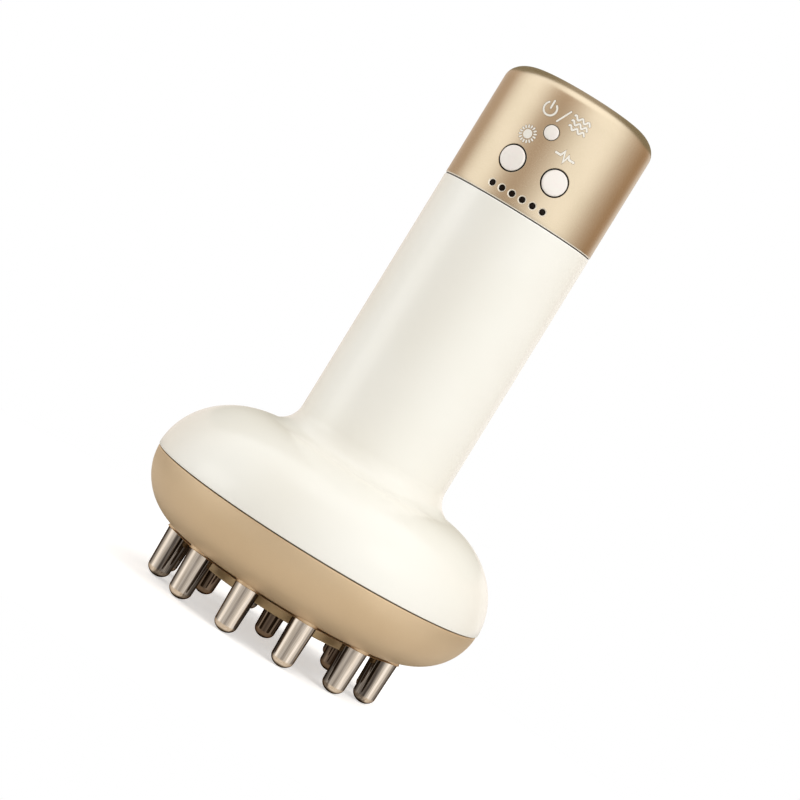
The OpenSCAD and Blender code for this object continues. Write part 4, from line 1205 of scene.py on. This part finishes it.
# Ends a tree: welds one copy, puts it on every point and makes all of them real
def finishTree(graph, given, single, placing):
    single = graph.add("GeometryNodeMergeByDistance", {}, {"Geometry": single, "Distance": weldReach})
    copies = graph.add("GeometryNodeInstanceOnPoints", {}, {"Instance": single, **placing})
    copies = graph.add("GeometryNodeRealizeInstances", {}, {"Geometry": copies})
    finish = {"Geometry": copies, "Material": given.output("Material")}
    copies = graph.add("GeometryNodeSetMaterial", {}, finish)
    graph.add("NodeGroupOutput", {}, {"Geometry": copies})


# Ring of tapered rods with round tips: each is a line swept by a circle whose radius follows the outline
def rodTree():
    lengths = ("Circle Radius", "First Turn", "Tip Radius", "Tip Round", "Base Radius", "Tip Height",
               "Seat Height", "Stud Radius", "Stud Top")
    kinds = {"Count": "Int", **{label: "Float" for label in lengths}, "Material": "Material"}
    tree, graph, given = startTree("ring of rods", kinds)
    tipR, baseR, studTop = (given.output(k) for k in ("Tip Radius", "Base Radius", "Stud Top"))
    tipZ, seatZ = given.output("Tip Height"), given.output("Seat Height")
    line, onTip, turn, along = endAndSide(graph, steps=44, endShare=0.55)
    tipTop = tipZ + tipR * given.output("Tip Round")
    height = onTip * (tipTop - (tipTop - tipZ) * turn.math("COSINE"))
    height += (1 - onTip) * (tipTop + (seatZ - tipTop) * along)
    radius = onTip * tipR * turn.math("SINE") + (1 - onTip) * (tipR + (baseR - tipR) * along)
    rod = sweepUp(graph, line, height, radius, sides=48)
    stud = graph.add("GeometryNodeMeshCylinder", {}, {
        "Vertices": 24, "Radius": given.output("Stud Radius"), "Depth": studTop - seatZ})
    lift = graph.add("ShaderNodeCombineXYZ", {}, {"Z": (studTop + seatZ) / 2})
    stud = graph.add("GeometryNodeTransform", {}, {"Geometry": stud, "Translation": lift})
    whole = graph.add("GeometryNodeJoinGeometry")
    for part in (rod, stud):
        graph.tree.links.new(part.socket, whole.socket.node.inputs[0])
    ring = graph.add("GeometryNodeMeshCircle", {}, {
        "Vertices": given.output("Count"), "Radius": given.output("Circle Radius")})
    first = graph.add("ShaderNodeCombineXYZ", {}, {"Z": given.output("First Turn")})
    ring = graph.add("GeometryNodeTransform", {}, {"Geometry": ring, "Rotation": first})
    finishTree(graph, given, whole, {"Points": ring})
    return tree


def rodPieces():
    tree = rodTree()
    steels = {"outer": materials["polished_rod"], "inner": extraMaterials["inner rods"]}
    for key, steel in steels.items():
        ring, node = rodLayout[key], key + "_electrodes"
        low, high = map(Vector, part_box(node))
        foot = baseZ if key == "outer" else plateLow.z
        rods = growPiece(key + "_rods", tree, {
            "Count": ring["count"],
            "Circle Radius": ring["circle"] / 2,
            "First Turn": rodTurn(ring, 0) - quarter,
            "Tip Radius": ring["tip"] / 2,
            "Tip Round": rodLayout["tip round"],
            "Base Radius": ring["base"] / 2,
            "Tip Height": low.z,
            "Seat Height": foot + rodLayout["seat"],
            "Stud Radius": rodLayout["stud"] / 2,
            "Stud Top": high.z,
            "Material": steel,
        })
        standIn(rods, "root", "polished_rod", node)


rodPieces()
print("stage: rods")


# Lamp windows: smoked domes at the bottom of the lamp holes, and the band behind them

lampLook = {
    "radius": 0.75 * mm,
    "recess": 0.4 * mm,
    "dome": 0.16 * mm,
    "band radius": 19.5 * mm,
    "band thickness": 1.2 * mm,
    "band margin": 2.6,  # degrees beyond the outer lamps
    "band steps": 32,
}


def lampTree():
    lengths = ("Pitch", "Window Radius", "Front", "Back", "Dome", "Height")
    kinds = {"Count": "Int", **{label: "Float" for label in lengths}, "Material": "Material"}
    tree, graph, given = startTree("row of lamp windows", kinds)
    count, front, back = given.output("Count"), given.output("Front"), given.output("Back")
    window, dome = given.output("Window Radius"), given.output("Dome")
    line, onDome, turn, down = endAndSide(graph, steps=14, endShare=0.7)
    reach = front - dome * (1 - turn.math("COSINE")) - (front - dome - back) * down
    radius = window * (onDome * turn.math("SINE") + (1 - onDome))
    lens = sweepUp(graph, line, reach, radius, sides=32)
    angle = (graph.add("GeometryNodeInputIndex") - (count - 1) / 2) * given.output("Pitch")
    centre = graph.add("ShaderNodeCombineXYZ", {}, {"Z": given.output("Height")})
    points = graph.add("GeometryNodePoints", {}, {"Count": count, "Position": centre})
    facing = graph.add("ShaderNodeCombineXYZ", {}, {"X": quarter, "Z": angle})
    finishTree(graph, given, lens, {"Points": points, "Rotation": facing})
    return tree


def lampPiece():
    look = lampLook
    count, pitch = capLook["lamp count"], math.radians(capLook["lamp pitch"])
    bandR, thick, steps = look["band radius"], look["band thickness"], look["band steps"]
    lenses = growPiece("lamp_windows", lampTree(), {
        "Count": count,
        "Pitch": pitch,
        "Window Radius": look["radius"],
        "Front": gripR - look["recess"],
        "Back": bandR - thick / 2,
        "Dome": look["dome"],
        "Height": lampZ,
        "Material": materials["smoked_lens"],
    })
    bm = bmesh.new()
    bm.from_mesh(lenses.data)
    half = (count - 1) / 2 * pitch + math.radians(look["band margin"])
    low, high = lampLow.z, lampHigh.z
    corners = ((bandR, low), (bandR, high), (bandR - thick, high), (bandR - thick, low))
    turns = [-half + 2 * half * i / steps for i in range(steps + 1)]
    rings = [[bm.verts.new((*aroundAxis(r, a), z)) for r, z in corners] for a in turns]
    stitchAll(bm, rings)
    bm.faces.new(rings[0])
    bm.faces.new(rings[-1])
    bmesh.ops.recalc_face_normals(bm, faces=bm.faces)
    bm.to_mesh(lenses.data)
    bm.free()
    shadeSmooth(lenses.data)
    standIn(lenses, "root", "smoked_lens", "light_guide")


lampPiece()
print("stage: lamps")


# Printed marks on the cap: pale lines with a fine dark edge, laid round the drum

markLook = {
    "line": 0.50 * mm,
    "dark edge": 0.09 * mm,
    "proud": 0.030 * mm,
    "edge proud": 0.012 * mm,
    "sunk": 0.01 * mm,
}
marks = {
    "power": {
        "angle": -11.9,  # degrees from the front
        "height": 152.0 * mm,
        "radius": 1.74 * mm,
        "open": 40,  # degrees on each side of the bar
        "bar": (0.2 * mm, 2.2 * mm),
    },
    "slash": {"angle": -1.1, "height": 152.0 * mm, "half": (0.95 * mm, 1.9 * mm), "line": 0.85},
    "waves": {
        "angle": 10.9,
        "height": 152.0 * mm,
        "width": 4.5 * mm,
        "rows": (-1, 0, 1),
        "step": 1.40 * mm,
        "swing": 0.43 * mm,
        "turns": 2.5,
        "start": 0.6,  # radians
    },
    "sun": {
        "angle": -16.3,
        "height": 143.8 * mm,
        "disc": 1.2 * mm,
        "rays": (1.72 * mm, 2.2 * mm),
        "count": 16,
        "line": 0.85,  # as a share of the common line
    },
    "pulse": {
        "angle": 13.5,
        "height": 143.5 * mm,
        "swing": 1.25 * mm,
        "width": 5.1 * mm,
        "beat": ((-0.5, 0), (-0.24, 0), (-0.13, 1), (0.03, -1), (0.14, 0.55), (0.23, 0), (0.5, 0)),
        "line": 1.15,
    },
}


# Cross-sections of a stroke along its path, with round ends: centre, heading and half width
def strokeSections(path, half):
    spots = [Vector(p) for p in path]
    last = len(spots) - 1
    ahead = [(spots[min(i + 1, last)] - spots[max(i - 1, 0)]).normalized() for i in range(last + 1)]
    turns = [quarter * k / 6 for k in range(6)]
    sections = [(spots[0] - ahead[0] * half * math.cos(a), ahead[0], half * math.sin(a)) for a in turns]
    for i, spot in enumerate(spots):
        before = (spot - spots[i - 1]).normalized() if i else ahead[0]
        after = (spots[i + 1] - spot).normalized() if i < last else ahead[-1]
        mitre = math.cos(before.angle(after) / 2) if before.length and after.length else 1
        sections.append((spot, (before + after).normalized(), half / max(mitre, 0.5)))
    for a in turns[::-1]:
        sections.append((spots[-1] + ahead[-1] * half * math.cos(a), ahead[-1], half * math.sin(a)))
    return sections


# One stroke, wrapped on the drum
def stroke(bm, mark, path, width, proud):
    across = max(2, round(width / (0.3 * mm)) + 1)
    angle, height = math.radians(mark["angle"]), mark["height"]
    rings = []
    for spot, forward, reach in strokeSections(path, width / 2):
        side = Vector((-forward.y, forward.x))
        line = [spot + side * reach * (2 * k / (across - 1) - 1) for k in range(across)]
        ring = []
        for out, points in ((gripR + proud, line), (gripR - markLook["sunk"], line[::-1])):
            ring += [bm.verts.new((*aroundAxis(out, angle + p.x / gripR), height + p.y)) for p in points]
        rings.append(ring)
    stitchAll(bm, rings)


def wayAt(turn):  # on the flat mark, clockwise from its top
    return Vector((math.sin(turn), math.cos(turn)))


# Every stroke, as its mark, its path and its share of the common line
def markPaths():
    power, slash, waves, sun, pulse = (marks[k] for k in ("power", "slash", "waves", "sun", "pulse"))
    ring = [power["radius"] * wayAt(math.radians(d)) for d in range(power["open"], 361 - power["open"], 8)]
    barLow, barHigh = power["bar"]
    x, y = slash["half"]
    paths = [(power, ring, 1), (power, [(0, barLow), (0, barHigh)], 1)]
    paths.append((slash, [(-x, -y), (x, y)], slash["line"]))
    for row in waves["rows"]:
        wave = []
        for s in (i / 40 for i in range(41)):
            lift = waves["swing"] * math.sin(math.tau * waves["turns"] * s + waves["start"])
            wave.append(((s - 0.5) * waves["width"], row * waves["step"] + lift))
        paths.append((waves, wave, 1))
    dot = 0.01 * mm  # a disc is a very short and thick stroke
    paths.append((sun, [(0, -dot), (0, dot)], 2 * sun["disc"] / markLook["line"]))
    for i in range(sun["count"]):
        way = wayAt(math.tau * i / sun["count"])
        paths.append((sun, [way * reach for reach in sun["rays"]], sun["line"]))
    paths.append((pulse, [(x * pulse["width"], y * pulse["swing"]) for x, y in pulse["beat"]], pulse["line"]))
    return paths


def markPieces():
    look = markLook
    for name, proud, extra, finish in (
        ("printed_marks", look["proud"], 0, "pale print"),
        ("print_edges", look["edge proud"], 2 * look["dark edge"], "dark print edge"),
    ):
        bm = bmesh.new()
        for mark, path, share in markPaths():
            stroke(bm, mark, path, look["line"] * share + extra, proud)
        piece = makeObject(name, bm, [extraMaterials[finish]])
        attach(piece, "root")


markPieces()
print("stage: printed marks")


# Studio: white room, level light, and the soft bands that the metal sees

studioLook = {
    "bands": [  # degrees from the camera's side to the right, and how white the wall is there
        (-180, 0.42), (-147, 0.16), (-122, 0.15), (-108, 0.60), (-94, 0.96), (-72, 0.98), (-58, 0.76),
        (-44, 0.31), (-26, 0.14), (-12, 0.35), (4, 0.67), (20, 0.96), (36, 1.0), (54, 1.0), (70, 0.77),
        (86, 0.40), (102, 0.18), (124, 0.0), (140, 0.06), (152, 0.44), (180, 0.42),
    ],
    "flag": (0.33, 0.217, 0.13),  # tint of the dark flags between the bands
    "wall level": 1.5,
    "low bands": [  # the same below the horizon, where the rods look
        (-180, 0.03), (-124, 0.03), (-112, 0.18), (-102, 0.30), (-90, 0.40), (-82, 0.70), (-76, 0.88),
        (-64, 0.86), (-54, 0.64), (-44, 0.44), (-22, 0.42), (-12, 0.28), (-4, 0.24), (3, 0.33), (8, 0.34),
        (14, 0.44), (28, 0.52), (40, 0.72), (48, 0.90), (58, 0.86), (66, 0.66), (86, 0.58), (94, 0.30),
        (102, 0.10), (108, 0.34), (116, 0.10), (180, 0.03),
    ],
    "low flag": (0.03, 0.021, 0.015),
    "low level": 1.3,
    "horizon": (-0.111, -0.042),  # heights between which the low bands give way
    "room": (0.69, 0.84),  # light from the sides and from above, for all that is not metal
    "room change": (0.1, 0.8),
    # What a surface mirrors as it tilts up or down: tilts in degrees, and sides as a share of a radian
    "overhead": (34, 38),  # white panel: starts and is full
    "overhead sides": (0.15, 0.75),
    "overhead level": 1.66,
    "behind from": (55, 22, 2.5),  # tilt at the middle, how much less at the sides, and half the change
    "behind": ((0.50, 0.43, 0.34), (0.29, 0.24, 0.15)),  # at the middle and at the sides
    "behind sides": (0.2, 0.7),
    "ground": ((0.76, 0.69, 0.60), (0.58, 0.52, 0.45), (0.12, 0.10, 0.07)),  # near, near at the sides, deep
    "ground sides": (0.6, 1.0),
    "near change": (-22, -11),
    "deep change": (-60, -42),
}


# Tilts and ways belong to the surface that mirrors a part of the room towards the photograph's camera place
def addWorld():
    look = studioLook
    world = bpy.data.worlds.new("studio")
    scene.world = world
    world.use_nodes = True
    graph = Graph(world.node_tree)
    ray = graph.add("ShaderNodeTexCoord", out="Generated")
    split = graph.add("ShaderNodeSeparateXYZ", {}, (ray,))
    x, y, z = (split.output(k) for k in "XYZ")
    turn = math.radians(photoCamera["turn"])
    ahead = x * math.sin(turn) - y * math.cos(turn) + 1
    toRight = x * math.cos(turn) + y * math.sin(turn)
    way = toRight.math("ARCTAN2", ahead)
    tilt = z.math("ARCTAN2", (toRight * toRight + ahead * ahead).math("SQRT")) * (180 / math.pi)
    aside = way.math("ABSOLUTE").math("MINIMUM", 1.0)

    def bandedWall(bandsKey, flagKey, levelKey):
        stops = [((degrees + 180) / 360, white) for degrees, white in look[bandsKey]]
        bands = graph.add("ShaderNodeValToRGB", {"stops": stops}, (way / math.pi + 0.5,))
        level = look[levelKey]
        return graph.blend(bands, dimmed(look[flagKey], level), (level,) * 3)

    near, nearSides, deep = look["ground"]
    near = graph.blend(graph.ease(aside, *look["ground sides"]), near, nearSides)
    lower = bandedWall("low bands", "low flag", "low level")
    lower = graph.blend(graph.ease(tilt, *look["near change"], 1.0, 0.0), lower, near)
    lower = graph.blend(graph.ease(tilt, *look["deep change"], 1.0, 0.0), lower, deep)
    upper = bandedWall("bands", "flag", "wall level")
    wall = graph.blend(graph.ease(z, *look["horizon"]), lower, upper)
    panel = graph.ease(tilt, *look["overhead"]) * graph.ease(aside, *look["overhead sides"], 1.0, 0.0)
    wall = graph.blend(panel, wall, (look["overhead level"],) * 3)
    behind = graph.blend(graph.ease(aside, *look["behind sides"]), *look["behind"])
    start, less, change = look["behind from"]
    over = graph.ease(tilt + aside * aside * aside * less, start - change, start + change)
    shown = graph.blend(over, wall, behind)
    sides, above = ((level,) * 3 for level in look["room"])
    room = graph.blend(graph.ease(z, *look["room change"]), sides, above)
    path = graph.add("ShaderNodeLightPath")
    straight = path.output("Is Camera Ray").math("MAXIMUM", path.output("Is Transmission Ray"))
    colour = graph.blend(path.output("Is Glossy Ray"), room, shown)
    colour = graph.blend(straight, colour, (1, 1, 1))
    back = graph.add("ShaderNodeBackground", {}, {"Color": colour, "Strength": 1.0})
    graph.add("ShaderNodeOutputWorld", {}, {"Surface": back})


# Lamps: place and size in metres, and watts; all aim at the object's middle
lampsLook = {
    "key": {"place": (0.89, -0.58, 0.95), "size": 0.7, "power": 6.5},
    "left": {"place": (-1.09, 0.15, 0.45), "size": 0.8, "power": 2.4},
    "back": {"place": (0.2, 1.0, 0.8), "size": 0.8, "power": 3.0},
}
# Strip that only the cream moulding mirrors, as a streak down the grip's left side
stripLook = {
    "place": (-0.739, -0.264, 0.16),
    "size": (0.39, 0.29),
    "power": 0.42,
    "mirrored by": "grip_and_bell",
}


def placeLamp(name, place):
    data = bpy.data.lights.new(name, "AREA")
    lamp = bpy.data.objects.new(name + "_lamp", data)
    aim = Vector((0, 0, (cadLow.z + cadHigh.z) / 2))
    lamp.location = place
    lamp.rotation_mode = "QUATERNION"
    lamp.rotation_quaternion = (aim - Vector(place)).to_track_quat("-Z", "Y")
    scene.collection.objects.link(lamp)
    return lamp, data


def addLamps():
    for name, look in lampsLook.items():
        lamp, data = placeLamp(name, look["place"])
        data.shape = "DISK"
        data.size = look["size"]
        data.energy = look["power"]
        lamp.visible_glossy = False
    look = stripLook
    lamp, data = placeLamp("strip", look["place"])
    data.shape = "RECTANGLE"
    data.size, data.size_y = look["size"]
    data.energy = look["power"]
    lamp.visible_camera = False
    lamp.visible_diffuse = False
    mirrors = bpy.data.collections.new("strip mirrors")
    mirrors.objects.link(bpy.data.objects[look["mirrored by"]])
    lamp.light_linking.receiver_collection = mirrors


# Floor: white, keeps the shadow near the object and runs out into plain white
floorLook = {
    "radius": 3.0,
    "colour": 0.80,
    "grain": (2 * mm, 0.70, 0.03),  # size, colour and share
    "seen lift": 0.50,  # added where the camera or metal sees it
    "bounce": 0.74,  # its colour for the light that it sends up
    "shadow": (0.06, 0.16),  # from here the shadow fades, and here it ends
}


def addFloor():
    look = floorLook
    bm = bmesh.new()
    lathe(bm, [(look["radius"] * s, 0) for s in (1, 0.3, 0.1, 0.03, 0)], 96)
    mesh = bpy.data.meshes.new("floor")
    bm.to_mesh(mesh)
    bm.free()
    floor = bpy.data.objects.new("floor", mesh)
    scene.collection.objects.link(floor)
    material = bpy.data.materials.new("floor white")
    material.use_nodes = True
    graph = Graph(material.node_tree)
    place = graph.place()
    grainSize, grainColour, grainShare = look["grain"]
    grain = graph.noise(place, grainSize)
    tone = graph.blend(grain * grainShare, (look["colour"],) * 3, (grainColour,) * 3)
    path = graph.add("ShaderNodeLightPath")
    seen = path.output("Is Camera Ray").math("MAXIMUM", path.output("Is Glossy Ray"))
    seen = seen.math("MAXIMUM", path.output("Is Transmission Ray"))
    tone = graph.blend(seen, (look["bounce"],) * 3, tone)
    matt = graph.add("ShaderNodeBsdfDiffuse", {}, {"Color": tone})
    white = graph.add("ShaderNodeEmission", {}, {"Color": (1, 1, 1, 1), "Strength": 1.0})
    lift = graph.add("ShaderNodeEmission", {}, {"Color": (1, 1, 1, 1), "Strength": seen * look["seen lift"]})
    near = graph.add("ShaderNodeAddShader", {}, (matt, lift))
    blank = graph.ease(graph.length(place), *look["shadow"]) * seen
    mixed = graph.add("ShaderNodeMixShader", {}, (blank, near, white))
    graph.add("ShaderNodeOutputMaterial", {}, {"Surface": mixed})
    mesh.materials.append(material)
    floor.visible_glossy = False


addWorld()
addLamps()
addFloor()
scene.view_settings.view_transform = "Standard"
print("stage: studio")
